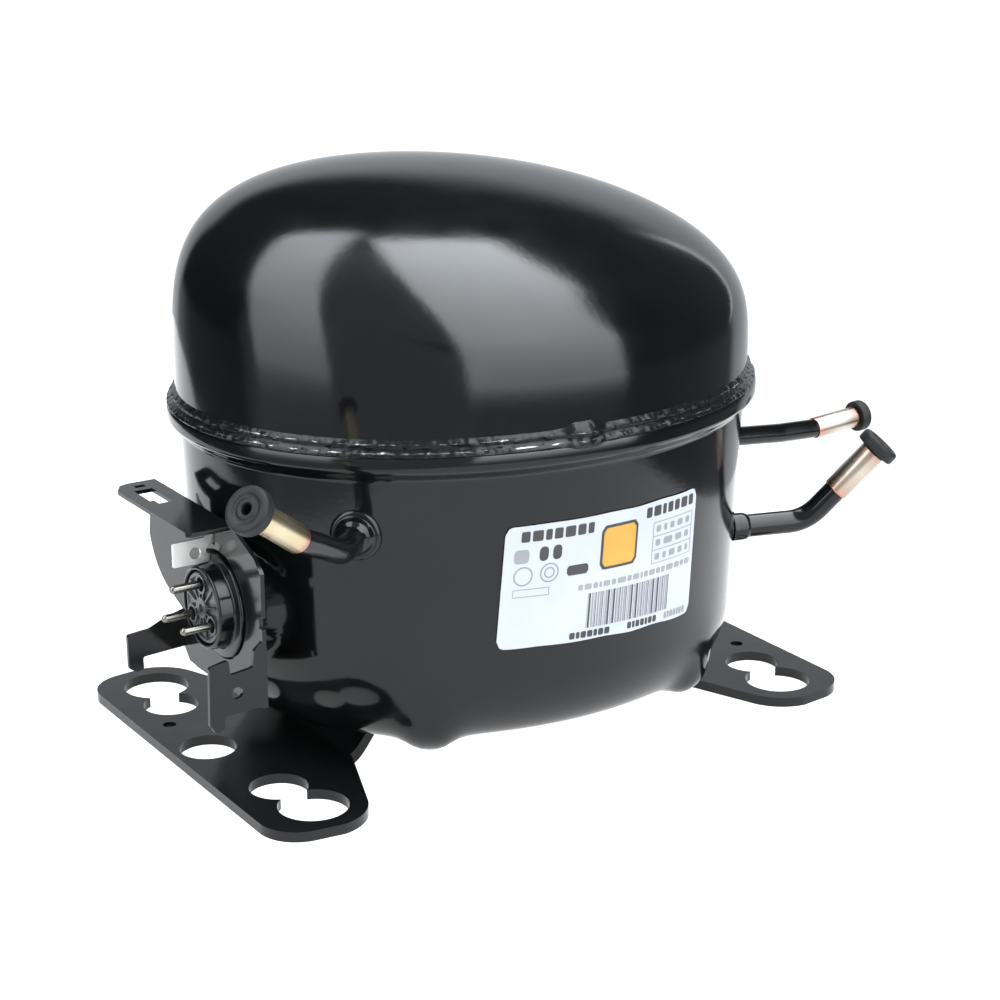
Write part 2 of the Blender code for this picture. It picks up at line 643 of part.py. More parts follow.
def valve_train(mats):
    steel, gasket_mat, cast = mats
    side = CYLINDER_HALF

    def plate(name, x0, x1, hole, mat):
        low, high = CYLINDER_Z - side, CYLINDER_Z + side
        c = 3.0
        outline = [(side, low + c), (side, high - c), (side - c, high), (-side + c, high), (-side, high - c),
                   (-side, low + c), (-side + c, low), (side - c, low)]
        made = prism(name, outline, x0, x1, mat, "YZ")
        if hole:
            cut(made, rod("hole", (x0 - 3, 0, CYLINDER_Z), (x1 + 3, 0, CYLINDER_Z), hole, None, 28))
        for y, z in head_screw_places():
            cut(made, rod("screw_hole", (x0 - 3, y, z), (x1 + 3, y, z), 2.4, None, 8))
        return made

    plate("cylinder_gasket", CYLINDER_X[1] + 0.25, VALVE_PLATE_X[0] - 0.25, 12.0, gasket_mat)
    port_plate = plate("valve_plate", *VALVE_PLATE_X, 0, steel)
    for y in (-5.0, 5.0):
        z = CYLINDER_Z - 4.0
        cut(port_plate, rod("port", (40, y, z), (60, y, z), 2.4, None, 14))

    def reed(name, x0, x1, y):
        outline = [(y - 2.2, CYLINDER_Z + 8.5), *arc((y, CYLINDER_Z - 4.0), 3.6, 180, 360, 8),
                   (y + 2.2, CYLINDER_Z + 8.5)]
        prism(name, outline, x0, x1, steel, "YZ")

    reed("suction_reed", 46.8, 47.2, -5.0)
    reed("discharge_reed", HEAD_X[0] + 0.1, HEAD_X[0] + 0.5, 5.0)
    head = plate("cylinder_head", *HEAD_X, 0, cast)
    for y0, y1 in ((-10.2, -1.2), (1.2, 10.2)):
        cut(head, block("plenum", (HEAD_X[0] - 3, y0, CYLINDER_Z - 9.5), (HEAD_X[1] - 3, y1, CYLINDER_Z + 9.8),
                        None))
    for index, (y, z) in enumerate(head_screw_places(), start=1):
        turned(f"head_screw_{index}", ((38.0, 1.6), (38.6, 2.0), (HEAD_X[1] + GAP, 2.0), (HEAD_X[1] + GAP, 3.5),
                                       (HEAD_X[1] + 2.8, 3.5), (HEAD_X[1] + 3.2, 3.0)),
               (0, y, z), (1, 0, 0), steel, segments=8)
    cut(head, rod("discharge_port", (57, -24, CYLINDER_Z - 6), (57, -6, CYLINDER_Z - 6), 2.2, None, 12),
        rod("suction_port", (57, 6, CYLINDER_Z + 5), (57, 24, CYLINDER_Z + 5), 2.6, None, 12))


def suction_muffler(mat):
    z = CYLINDER_Z + 5
    body = block("suction_muffler", (28, 24, 103), (50, 44, 129), mat)
    join(body, block("elbow", (49, 24.5, z - 4), (61, 31, z + 4), None),
         rod("spout", (57, 17.3, z), (57, 25.5, z), 3.4, None, 12))
    return cut(body, rod("inlet", (36, 38, 96), (36, 38, 112), 4.0, None, 12))


def discharge_loop(mat):
    points = ((57, -17.4, CYLINDER_Z - 6), (57, -24, CYLINDER_Z - 6), (50, -41, 101), (40, -52, 90),
              (18, -58.5, 86), (-12, -58.5, 83), (-36, -53.0, 81), (-51.0, -45.5, 80.5),
              (-55.6, -36.8, 78.5), (-61.6, -43.27, 77.5))
    return hollow_sweep("discharge_loop", rounded_path(points, 14, 2), 1.8, 0.6, mat, sides=6)


def suspension(spring_mat, seat_mat):
    low, high = SPRING_Z
    coils, per_coil = 4, 8
    for index, (sx, sy) in enumerate(((-1, -1), (1, -1), (1, 1), (-1, 1)), start=1):
        x, y = sx * SPRING_XY[0], sy * SPRING_XY[1]
        steps = coils * per_coil
        path = []
        for i in range(steps + 1):
            angle = 2 * pi * i / per_coil
            path.append(Vector((x + SPRING_R * cos(angle), y + SPRING_R * sin(angle),
                                low + (high - low) * i / steps)))
        loft(f"spring_{index}", sweep_rings(path, SPRING_WIRE_R, 4), spring_mat)
        turned(f"spring_seat_lower_{index}", ((14.6, 4.6), (16.3, 5.0), (16.3, 3.4), (22.5, 3.2), (23.5, 2.4)),
               (x, y, 0), (0, 0, 1), seat_mat, segments=8)
        top = SPRING_Z[1] + SPRING_WIRE_R + GAP
        turned(f"spring_seat_upper_{index}", ((27.0, 2.4), (28.0, 3.2), (top, 3.4), (top, 5.4),
                                              (STATOR_Z[0] - GAP, 5.4)),
               (x, y, 0), (0, 0, 1), seat_mat, segments=8)


def inner_wiring(plug_mat, lead_mat):
    y, z = TERMINAL
    plug = block("terminal_plug", (-77.2, y - 9.6, z - 7), (-67.9, y + 9.6, z + 10.4), plug_mat)
    for py, pz in pin_places():
        cut(plug, rod("socket", (-82, py, pz), (-72, py, pz), PIN_R + GAP, None, 8))
    points = ((-67.4, y, z), (-62.0, y, z + 0.2), (-58.5, -14, 68), (-57.5, -13, 80), (-52, -12, 84),
              (-45.6, -11, 84))
    path = rounded_path(points, 8, 3)
    loft("motor_leads", sweep_rings(path, 2.2, 8), lead_mat)


# ---------------------------------------------------------------- assembly
def main():
    clear_scene()
    paint = material("gloss black enamel", (0.012, 0.013, 0.014), 0.12, 0.0)
    weld = material("painted weld", (0.03, 0.03, 0.032), 0.35, 0.4)
    zinc = material("zinc plated steel", (0.62, 0.60, 0.56), 0.35, 1.0)
    nickel = material("bright sleeve", (0.78, 0.68, 0.48), 0.3, 1.0)
    rubber = material("black rubber", (0.035, 0.036, 0.038), 0.6, 0.0)
    grey = material("grey insulator", (0.25, 0.26, 0.27), 0.5, 0.0)
    paper = material("label film", (0.86, 0.88, 0.92), 0.4, 0.0)
    iron = material("cast iron", (0.16, 0.16, 0.16), 0.6, 0.9)
    steel = material("machined steel", (0.55, 0.55, 0.56), 0.25, 1.0)
    lamination = material("laminated steel", (0.3, 0.3, 0.32), 0.45, 0.9)
    aluminium = material("aluminium", (0.7, 0.7, 0.71), 0.4, 1.0)
    copper = material("enamelled copper", (0.6, 0.27, 0.12), 0.35, 0.9)
    plastic = material("plastic", (0.75, 0.74, 0.68), 0.5, 0.0)
    gasket = material("gasket", (0.2, 0.3, 0.25), 0.8, 0.0)

    lower_shell(paint)
    upper_shell(paint)
    weld_bead(weld)
    base_plate("base_plate_left", -1, paint)
    base_plate("base_plate_right", 1, paint)
    terminal_bracket(paint)
    earth_tab(zinc)
    terminal_cup(paint)
    terminal_disc(grey)
    terminal_pins(steel)
    tube_mats = (paint, paint, nickel, rubber)
    tube_set("discharge", DISCHARGE_PATH, DISCHARGE_R, 12, tube_mats)
    tube_set("suction", SUCTION_PATH, SUCTION_R, 14, tube_mats)
    tube_set("process", PROCESS_PATH, PROCESS_R, 30, tube_mats)
    label(paper)

    stator(lamination)
    winding(copper)
    rotor(aluminium)
    cylinder_block(iron)
    crankshaft(iron)
    gallery_plug(steel)
    oil_pickup(steel)
    slide_block(iron)
    piston(iron)
    valve_train((steel, gasket, iron))
    suction_muffler(plastic)
    discharge_loop(steel)
    suspension(steel, plastic)
    inner_wiring(plastic, rubber)

    pattern = bpy.data.objects.new("hole_pattern", None)
    bpy.context.scene.collection.objects.link(pattern)
    pattern.location = Vector(PATTERN_FROM_MIDDLE) * MM
    for item in bpy.data.objects:
        if item.type == "MESH":
            item.parent = pattern


main()
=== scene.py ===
from math import cos, degrees, dist, hypot, pi, radians, sin, sqrt, tan

import bmesh
import bpy
from mathutils import Matrix, Vector, noise

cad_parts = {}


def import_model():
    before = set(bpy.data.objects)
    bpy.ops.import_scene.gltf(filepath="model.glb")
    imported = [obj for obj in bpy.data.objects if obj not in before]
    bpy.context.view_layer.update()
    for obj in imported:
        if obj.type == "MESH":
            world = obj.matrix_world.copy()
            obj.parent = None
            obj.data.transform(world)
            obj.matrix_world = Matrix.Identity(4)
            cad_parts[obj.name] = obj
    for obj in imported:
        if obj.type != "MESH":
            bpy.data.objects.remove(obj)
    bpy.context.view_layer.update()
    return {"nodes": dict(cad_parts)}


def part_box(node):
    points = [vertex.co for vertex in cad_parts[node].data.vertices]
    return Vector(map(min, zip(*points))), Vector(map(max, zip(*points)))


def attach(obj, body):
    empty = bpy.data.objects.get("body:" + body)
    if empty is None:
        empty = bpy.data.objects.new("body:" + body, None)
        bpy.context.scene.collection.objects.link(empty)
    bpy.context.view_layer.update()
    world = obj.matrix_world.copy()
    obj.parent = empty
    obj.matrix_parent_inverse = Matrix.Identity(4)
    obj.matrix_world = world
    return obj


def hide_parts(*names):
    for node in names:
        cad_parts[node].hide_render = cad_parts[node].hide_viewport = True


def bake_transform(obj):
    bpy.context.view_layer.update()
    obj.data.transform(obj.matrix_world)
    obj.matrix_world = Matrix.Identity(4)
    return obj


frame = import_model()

MM = 0.001

# ---------------------------------------------------------------- driving sizes, in millimetres
# Everything is measured from the centre of the feet's hole pattern, which the frame gives.
LEFT_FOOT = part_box("base_plate_left")
RIGHT_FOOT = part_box("base_plate_right")
ORIGIN = Vector(((LEFT_FOOT[0].x + RIGHT_FOOT[1].x) / 2, (LEFT_FOOT[0].y + LEFT_FOOT[1].y) / 2, 0.0))

FOOT_THICK = 3.0
FOOT_OUTER_X = (RIGHT_FOOT[1].x - LEFT_FOOT[0].x) / 2 / MM
GROMMET_WIDE = (82.55, 50.8, 10.0)
GROMMET_NARROW = (85.0, 35.0, 8.4)
MIDDLE_HOLE = (89.7, 0.0, 8.4)
FOOT_LOBE_R = 15.2
FOOT_CORNER_R = 12.0
FOOT_INNER_X = 57.5             # inner edge, where the sheet bends up under the shell
FOOT_INNER_Y = 28.0
SMALL_HOLE = {-1: (-92.1, 21.0), 1: (-90.8, -20.2)}     # left foot, right foot before it is mirrored
SMALL_HOLE_R = 2.0
RAMP_END_X = 50.0
RAMP_RISE = 8.6

FULLNESS = 0.0051               # how much the shell's plan bulges beyond an ellipse at its corners
SHELL_WALL = 2.6
FLOOR_Z = 11.0
CORNER_REACH = (10.5, 10.0)
CORNER_RISE = (18.0, 16.0)
LOWER_FOOT = (85.0, 67.4)
LOWER_NECK = (87.4, 72.0)
NECK_Z = 93.0
RIM = (91.2, 75.4)
RIM_Z = (96.6, 100.6)
DOME = (88.6, 72.4)
DOME_Z = 104.5
DOME_H = 54.5
DOME_TILT = (-0.109, 0.30, 0.062)
DOME_SIDE_POWER = 2.14
DOME_TOP_POWER = 4.3
SKIRT_Z = 97.6
SEAT_BULGE = (45.0, 50.5, 14.0)
SEAT_BULGE_R = (7.6, 13.0, 9.0)     # across, upwards and downwards
SEAT_BULGE_RISE = 4.6
SEAM_Z = (99.5, 106.0)
SEAM_END = -95.5                # angle of the blob where the seam starts and ends
SEAM_END_R = 78.0               # how far the blob is from the shell's middle
SEAM_GRAIN = 34.0               # radius of the circle along which the seam's noise is read

TERMINAL = (-15.3, 52.7)
TERMINAL_BACK_X = -80.0
BOSS_FACE_X = -90.0
BOSS_R = 17.0
CUP_R = 11.7
CUP_FLANGE_R = 15.3
PIN_CIRCLE_R = 6.9
PIN_R = 1.15
PIN_ROOT_X = -74.0
SHEET = 1.2
PLATE_X = -91.5
BRACKET_TOP_Z = 78.0
LUG_Y = -41.0
ARM_Y = 8.2
EARTH_Y = -13.0

DISCHARGE_R = (3.4, 3.85, 6.4)
SUCTION_R = (3.6, 4.0, 6.4)
PROCESS_R = (3.05, 3.4, 5.0)
TUBE_WALL = 0.9
SLEEVE_LAP = 6.0                # how far the tube reaches into its sleeve
DISCHARGE_PATH = ((-61.9, -43.6, 77.5), (-66.0, -48.0, 77.5), (-75.9, -58.6, 77.5), (-94.0, -68.5, 87.4),
                  (-109.6, -75.0, 99.0))
SUCTION_PATH = ((69.8, -34.3, 50.4), (75.4, -36.3, 50.5), (96.9, -44.2, 51.0), (104.3, -49.0, 60.8),
                (113.8, -55.1, 73.4))
PROCESS_PATH = ((80.5, -15.0, 72.9), (86.0, -15.0, 72.5), (110.0, -15.0, 70.1), (124.3, -15.0, 69.4),
                (141.4, -15.0, 70.6))

SPRING_R = 5.0
SPRING_WIRE_R = 0.8
SPRING_COILS = 4
SPRING_STEPS = 34               # points for each coil
SPRING_GRIP = 1.0               # length of each end of the spring at its seat
LABEL_LEFT = (-110.1, -111.6)   # angle of the left edge at its top and bottom
LABEL_RIGHT = -65.4
LABEL_TOP = (78.4, 78.0)        # height of an edge at its left and right
LABEL_BOTTOM = (42.2, 38.8)
LABEL_CORNER = 0.035            # corner radius, as a share of the label's width
LABEL_THICK = 0.22
PRINT_PROUD = 0.24
PRINT_THICK = 0.05

ROUND = 192                     # points round the shell
DOME_STEPS = 70
CORNER_STEPS = 30
WALL_STEPS = 35
NECK_STEPS = 14
SEAM_STEPS = 1100
LABEL_STEPS = 72

# ---------------------------------------------------------------- studio sizes, in metres
TABLE_HALF = (0.27, 0.50)
TABLE_SHIFT = (-0.03, 0.10, 0.0)
TENT_R = 4.0
TENT_Z = 0.09
VIEW_AZIMUTH = -33.14
VIEW_ELEVATION = 17.98
VIEW_DISTANCE = 0.700
VIEW_TARGET = (15.4, 5.3, 58.6)     # millimetres from the feet's centre
VIEW_LENS = 81.3
VIEW_SENSOR = 36.0


# ---------------------------------------------------------------- mesh helpers
def world(point):
    return ORIGIN + Vector(point) * MM


def place_object(name, data):
    made = bpy.data.objects.new(name, data)
    bpy.context.scene.collection.objects.link(made)
    return made


def finish(name, bm, mats, angle=32):
    """A bmesh in millimetres becomes an object in metres, in the frame's place."""
    bmesh.ops.recalc_face_normals(bm, faces=bm.faces)
    for vert in bm.verts:
        vert.co = world(vert.co)
    mesh = bpy.data.meshes.new(name)
    bm.to_mesh(mesh)
    bm.free()
    for mat in (mats if isinstance(mats, list) else [mats]):
        if mat is not None:
            mesh.materials.append(mat)
    mesh.shade_smooth()
    mesh.set_sharp_from_angle(angle=radians(angle))
    return place_object(name, mesh)


def loft(name, rings, mats, closed=False, angle=32, tips=(None, None)):
    """Skin rings of equal length; closed joins the last ring to the first, else a tip closes each end."""
    bm = bmesh.new()
    rows = [[bm.verts.new(point) for point in ring] for ring in rings]
    count = len(rows[0])
    for low, high in zip(rows, rows[1:] + rows[:1] if closed else rows[1:]):
        for i in range(count):
            j = (i + 1) % count
            bm.faces.new((low[i], low[j], high[j], high[i]))
    if not closed:
        for row, tip in zip((rows[0], rows[-1]), tips):
            middle = bm.verts.new(tip or sum((v.co for v in row), Vector()) / count)
            for i in range(count):
                bm.faces.new((row[i], row[(i + 1) % count], middle))
    return finish(name, bm, mats, angle)


def frame_along(axis):
    axis = Vector(axis).normalized()
    helper = Vector((0, 0, 1)) if abs(axis.z) < 0.9 else Vector((1, 0, 0))
    side = axis.cross(helper).normalized()
    return axis, side, axis.cross(side)


def round_corner(before, corner, after, reach, steps):
    """Points of the curve that replaces a corner."""
    first = corner + (before - corner).normalized() * reach
    last = corner + (after - corner).normalized() * reach
    points = []
    for i in range(steps + 1):
        t = i / steps
        points.append(first * (1 - t) ** 2 + corner * 2 * t * (1 - t) + last * t * t)
    return points


def smooth_profile(points, radius, steps=4):
    """Round the inner corners of an open profile of (a, b) pairs."""
    done = [points[0]]
    for corner_and_sides in zip(points, points[1:], points[2:]):
        before, corner, after = map(Vector, corner_and_sides)
        reach = min(radius, (before - corner).length * 0.62, (after - corner).length * 0.62)
        done += round_corner(before, corner, after, reach, steps)
    return done + [points[-1]]


def turned(name, profile, centre, axis, mats, closed=False, segments=48, angle=32, wobble=None):
    """A turned piece; profile is (distance along the axis, radius)."""
    axis, side, up = frame_along(axis)
    centre = Vector(centre)
    rings = []
    for along, radius in profile:
        ring = []
        for i in range(segments):
            turn = 2 * pi * i / segments
            grow = wobble(turn, along) if wobble else 0.0
            ring.append(centre + axis * along + (side * cos(turn) + up * sin(turn)) * (radius + grow))
        rings.append(ring)
    return loft(name, rings, mats, closed, angle)


def prism(name, outline, low, high, mats, plane="XY"):
    """An outline in the plane, drawn out from low to high along the third axis."""
    order = {"XY": (0, 1, 2), "YZ": (2, 0, 1), "XZ": (0, 2, 1)}[plane]
    bm = bmesh.new()
    rows = [[bm.verts.new([(*pair, depth)[k] for k in order]) for pair in outline] for depth in (low, high)]
    count = len(outline)
    for i in range(count):
        j = (i + 1) % count
        bm.faces.new((rows[0][i], rows[0][j], rows[1][j], rows[1][i]))
    bm.faces.new(rows[0])
    bm.faces.new(rows[1])
    return finish(name, bm, mats)


def block(name, low, high, mats=None):
    outline = ((low[0], low[1]), (high[0], low[1]), (high[0], high[1]), (low[0], high[1]))
    return prism(name, outline, low[2], high[2], mats)


def rod(name, start, end, radius, mats=None, segments=32):
    start, end = Vector(start), Vector(end)
    return turned(name, ((0, radius), ((end - start).length, radius)), start, end - start, mats,
                  segments=segments)


def evaluated(target):
    """Replace the object's mesh by what its modifiers make of it."""
    view = bpy.context.evaluated_depsgraph_get()
    view.update()
    result = bpy.data.meshes.new_from_object(target.evaluated_get(view))
    old = target.data
    target.modifiers.clear()
    target.data = result
    result.name = target.name
    bpy.data.meshes.remove(old)
    return target


def combine(target, tools, operation):
    for tool in tools:
        step = target.modifiers.new("join", "BOOLEAN")
        step.operation = operation
        step.solver = "EXACT"
        step.object = tool
        evaluated(target)
        bpy.data.objects.remove(tool, do_unlink=True)
    return target


def cut(target, *tools):
    return combine(target, tools, "DIFFERENCE")


def join(target, *tools):
    return combine(target, tools, "UNION")


def soften(target, width, segments=2, angle=35):
    """Round the hard edges by a bevel, in millimetres."""
    step = target.modifiers.new("edges", "BEVEL")
    step.width = width * MM
    step.segments = segments
    step.limit_method = "ANGLE"
    step.angle_limit = radians(angle)
    step.use_clamp_overlap = True
    step.miter_outer = "MITER_ARC"
    evaluated(target)
    target.data.shade_smooth()
    target.data.set_sharp_from_angle(angle=radians(50))
    step = target.modifiers.new("normals", "WEIGHTED_NORMAL")
    step.weight = 100
    step.keep_sharp = True
    return evaluated(target)


def arc(centre, radius, start, end, steps):
    points = []
    for i in range(steps + 1):
        turn = radians(start + (end - start) * i / steps)
        points.append((centre[0] + radius * cos(turn), centre[1] + radius * sin(turn)))
    return points


def rounded(outline, radius, steps=5):
    """Round every corner of a closed outline that turns by more than a little."""
    points = [Vector(pair) for pair in outline]
    done = []
    for before, corner, after in zip(points[-1:] + points, points, points[1:] + points[:1]):
        back, ahead = before - corner, after - corner
        turn = pi - back.angle(ahead)
        if turn < radians(12):
            done.append(corner)
            continue
        reach = min(radius * abs(tan(turn / 2)), back.length * 0.4, ahead.length * 0.4)
        done += round_corner(before, corner, after, reach, steps)
    return done


def plan_point(half, turn):
    full = 1 + FULLNESS * (1 - cos(4 * turn))
    return (half[0] * cos(turn) * full, half[1] * sin(turn) * full)


def even_shares(curve, count, fine=600):
    """Parameters from 0 to 1 that space points evenly along curve(t)."""
    points = [curve(i / fine) for i in range(fine + 1)]
    lengths = [0.0]
    for a, b in zip(points, points[1:]):
        lengths.append(lengths[-1] + dist(a, b))
    shares, k = [], 0
    for i in range(count + 1):
        want = lengths[-1] * i / count
        while k < fine - 1 and lengths[k + 1] < want:
            k += 1
        shares.append(min(1.0, (k + (want - lengths[k]) / max(1e-9, lengths[k + 1] - lengths[k])) / fine))
    return shares


TURNS = [2 * pi * t for t in even_shares(lambda t: plan_point(LOWER_NECK, 2 * pi * t), ROUND, 4000)[:-1]]


def plan_ring(half, z):
    return [(*plan_point(half, turn), z) for turn in TURNS]


def inset(half, amount):
    return (half[0] - amount, half[1] - amount)


def rounded_path(points, radius, steps=10):
    points = [Vector(point) for point in points]
    path = [points[0]]
    for before, corner, after in zip(points, points[1:], points[2:]):
        back, ahead = before - corner, after - corner
        steepness = max(0.05, abs(tan(back.angle(ahead) / 2)))
        reach = min(radius / steepness, back.length * 0.45, ahead.length * 0.45)
        path += round_corner(before, corner, after, reach, steps)
    return path + [points[-1]]


def sweep_rings(path, radius, sides):
    rings, side = [], None
    for i, point in enumerate(path):
        axis = (path[min(i + 1, len(path) - 1)] - path[max(i - 1, 0)]).normalized()
        if side is None:
            side = frame_along(axis)[1]
        side = (side - axis * side.dot(axis)).normalized()
        up = axis.cross(side)
        rings.append([point + (side * cos(2 * pi * k / sides) + up * sin(2 * pi * k / sides)) * radius
                      for k in range(sides)])
    return rings


def hand_over(piece, slot, *nodes, body="shell"):
    """The piece moves with the body and stands for the nodes, which are hidden; slot is not used."""
    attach(piece, body)
    if nodes:
        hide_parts(*nodes)


# ---------------------------------------------------------------- materials
ENAMEL_SPECULAR = 0.30          # below the usual 0.5, because the soft panels are bright


def feed(tree, node, values):
    """Give each input a number, a colour or another node's output."""
    for key, value in values.items():
        if isinstance(value, bpy.types.NodeSocket):
            tree.links.new(value, node.inputs[key])
        else:
            node.inputs[key].default_value = value


def add(tree, kind, output, values, **settings):
    """A new shader node; returns the output that is wanted."""
    node = tree.nodes.new("ShaderNode" + kind)
    for name, value in settings.items():
        setattr(node, name, value)
    feed(tree, node, values)
    return node.outputs[output] if output else None


def shader_of(name, colour, roughness, metallic=0.0):
    made = bpy.data.materials.new(name)
    made.use_nodes = True
    tree = made.node_tree
    shader = tree.nodes["Principled BSDF"]
    feed(tree, shader, {"Base Color": (*colour, 1.0), "Roughness": roughness, "Metallic": metallic})
    return made, tree, shader


def object_space(tree):
    return add(tree, "TexCoord", "Object", {})


def noise_map(tree, scale, detail=3.0, stretch=(1, 1, 1), distortion=0.0):
    """Noise over the object's own space, in metres; scale is in features per metre."""
    place = add(tree, "Mapping", "Vector", {"Vector": object_space(tree), "Scale": stretch})
    return add(tree, "TexNoise", "Fac",
               {"Vector": place, "Scale": scale, "Detail": detail, "Distortion": distortion})


def calc(tree, operation, *values):
    return add(tree, "Math", "Value", dict(enumerate(values)), operation=operation)


def dot(tree, vector, direction):
    return add(tree, "VectorMath", "Value", {0: vector, 1: direction}, operation="DOT_PRODUCT")


def spread(tree, value, low, high, to_low=0.0, to_high=1.0, kind="LINEAR"):
    """Map a value's range onto another, clamped."""
    values = {"Value": value, "From Min": low, "From Max": high, "To Min": to_low, "To Max": to_high}
    return add(tree, "MapRange", "Result", values, interpolation_type=kind)


def tint(tree, value, stops):
    node = tree.nodes.new("ShaderNodeValToRGB")
    ramp = node.color_ramp
    for element, (place, colour) in zip(ramp.elements, (stops[0], stops[-1])):
        element.position, element.color = place, (*colour, 1)
    for place, colour in stops[1:-1]:
        ramp.elements.new(place).color = (*colour, 1)
    feed(tree, node, {"Fac": value})
    return node.outputs["Color"]


def relief(tree, shader, *layers):
    """Bump layers, each with a height value, a depth in metres and a strength."""
    normal = {}
    for value, depth, strength in layers:
        values = {"Height": value, "Distance": depth, "Strength": strength, **normal}
        normal = {"Normal": add(tree, "Bump", "Normal", values)}
    feed(tree, shader, normal)


def surface(name, near, far, rough, noises, depth, strength, edge=0.3, metallic=0.0, specular=0.5):
    """Colour and gloss that drift a little over fine bumps; noises has the settings of all three."""
    made, tree, shader = shader_of(name, near, rough[0], metallic)
    colour, gloss, bumps = noises
    feed(tree, shader, {
        "Base Color": tint(tree, noise_map(tree, *colour), ((edge, near), (1 - edge, far))),
        "Specular IOR Level": specular})
    if gloss:
        feed(tree, shader, {"Roughness": spread(tree, noise_map(tree, *gloss), 0.3, 0.7, *rough)})
    relief(tree, shader, (noise_map(tree, *bumps), depth, strength))
    return made


def enamel(name, dark=0.0020, light=0.0032, rough=(0.09, 0.13), peel=0.03):
    """Baked black enamel over steel: faint orange peel, cloudy gloss."""
    near, far = [(tone, tone * 1.06, tone * 1.12) for tone in (dark, light)]
    return surface(name, near, far, rough, ((38, 4), (90, 5), (420, 2)), 0.0004, peel,
                   specular=ENAMEL_SPECULAR)


def plated(name, near, far, rough=(0.2, 0.4), metallic=1.0, grain=(1, 1, 1), scale=160, bump=0.18):
    noises = ((scale, 5, grain), (scale * 4, 4, grain), (scale * 6, 3, grain))
    return surface(name, near, far, rough, noises, 0.0002, bump, 0.32, metallic)


def moulded(name, near, far, rough=(0.5, 0.7), grain=900, strength=0.2, specular=0.5):
    return surface(name, near, far, rough, ((70, 4), (220, 3), (grain, 2)), 0.0002, strength,
                   specular=specular)


def film(name, near, far, rough=0.32):
    """Printed film: nearly flat colour with faint clouding and a soft gloss."""
    return surface(name, near, far, (rough,), ((60, 3), None, (150, 2)), 0.0003, 0.08, 0.35)


SEAM_BARE_AND_HIGHLIGHT = ((0.07, 0), (0.12, 0.9), (0.17, 0), (0.26, 0), (0.32, 1), (0.38, 0), (0.60, 0), (0.66, 1),
               (0.72, 0))       # level in the seam and how bare the metal is there; partly worn paint, partly painted highlight


def weld_skin(name):
    """Weld seam: black paint over scaly ridges, rubbed to grey metal along the tops of the ridges; the grey
    bands are also painted highlight, at fixed heights where the ridges shine.
    """
    made, tree, shader = shader_of(name, (0.03, 0.03, 0.032), 0.3)
    height = add(tree, "SeparateXYZ", "Z", {"Vector": object_space(tree)})
    level = spread(tree, height, SEAM_Z[0] * MM, SEAM_Z[1] * MM)
    # grey metal bands at three fixed heights in the seam: partly worn paint, partly painted highlight for the
    # bright lines along the ridges
    crest = tint(tree, level, [(place, (shade,) * 3) for place, shade in SEAM_BARE_AND_HIGHLIGHT])
    scales = noise_map(tree, 300, 6, (1, 1, 3.6), 0.5)
    worn = calc(tree, "ADD", calc(tree, "MULTIPLY_ADD", crest, 0.30, scales),
                spread(tree, noise_map(tree, 24, 2), 0.35, 0.65, -0.07, 0.05))
    paint_to_metal_and_highlight = tint(tree, worn, ((0.0, (0.0025, 0.0026, 0.0028)), (0.79, (0.006, 0.006, 0.0065)),
                                       (0.86, (0.12, 0.12, 0.125)), (0.95, (0.30, 0.30, 0.31))))
    feed(tree, shader, {
        "Specular IOR Level": 0.2, "Base Color": paint_to_metal_and_highlight,
        "Metallic": spread(tree, worn, 0.80, 0.90, 0.0, 0.9),
        "Roughness": spread(tree, noise_map(tree, 700, 4), 0.3, 0.7, 0.12, 0.34)})
    relief(tree, shader, (scales, 0.0008, 0.12), (noise_map(tree, 900, 3, (1, 1, 2.5)), 0.0003, 0.05))
    return made


def sleeve_metal(name, start, end, length, middle, edge):
    """Plating with a pale middle that turns copper-pink at both ends of the sleeve."""
    made, tree, shader = shader_of(name, (0.78, 0.66, 0.45), 0.3, 1.0)
    axis = (Vector(end) - Vector(start)).normalized()
    place = add(tree, "VectorMath", "Vector", {0: object_space(tree), 1: world(start)}, operation="SUBTRACT")
    share = spread(tree, dot(tree, place, axis), 0.0, length * MM)
    ragged = calc(tree, "MULTIPLY_ADD", noise_map(tree, 200, 2), 0.03, share)
    bands = tint(tree, ragged, ((0.00, (0.42, 0.19, 0.15)), (0.07, (0.46, 0.27, 0.20)), (0.14, edge),
                                (0.60, middle), (0.94, edge), (1.0, (0.42, 0.26, 0.19))))
    feed(tree, shader, {"Base Color": bands,
                        "Roughness": spread(tree, noise_map(tree, 120, 2), 0.3, 0.7, 0.27, 0.31)})
    return made


def stacked_sheet(name):
    """Edges of stacked electrical sheet: fine level lines."""
    made, tree, shader = shader_of(name, (0.3, 0.31, 0.34), 0.42, 0.9)
    lines = noise_map(tree, 60, 2, (0.05, 0.05, 30))
    grey = tint(tree, lines, ((0.35, (0.16, 0.17, 0.19)), (0.65, (0.42, 0.43, 0.46))))
    feed(tree, shader, {"Base Color": grey})
    relief(tree, shader, (lines, 0.0003, 0.4))
    return made


SHELL_PAINT = enamel("shell_enamel")
FOOT_PAINT = enamel("foot_enamel", 0.0030, 0.0050, (0.14, 0.22), 0.04)
BRACKET_PAINT = enamel("bracket_enamel", 0.0030, 0.0048, (0.10, 0.16), 0.03)
TUBE_PAINT = enamel("tube_enamel", 0.0022, 0.0035, (0.08, 0.14), 0.03)
CUP_PAINT = enamel("cup_enamel", 0.0025, 0.0040, (0.10, 0.2), 0.04)
WELD_SKIN = weld_skin("weld_seam")
ZINC = plated("zinc_plate", (0.70, 0.69, 0.66), (0.80, 0.79, 0.76), (0.34, 0.42), scale=70, bump=0.03)
PIN_STEEL = plated("pin_steel", (0.15, 0.145, 0.13), (0.20, 0.19, 0.17), (0.22, 0.30), scale=70, bump=0.03)
RUBBER = moulded("cap_rubber", (0.0040, 0.0043, 0.0047), (0.0062, 0.0067, 0.0072), (0.5, 0.65), specular=0.3)
INSULATOR = moulded("grey_insulator", (0.016, 0.017, 0.019), (0.030, 0.032, 0.034), (0.22, 0.36))
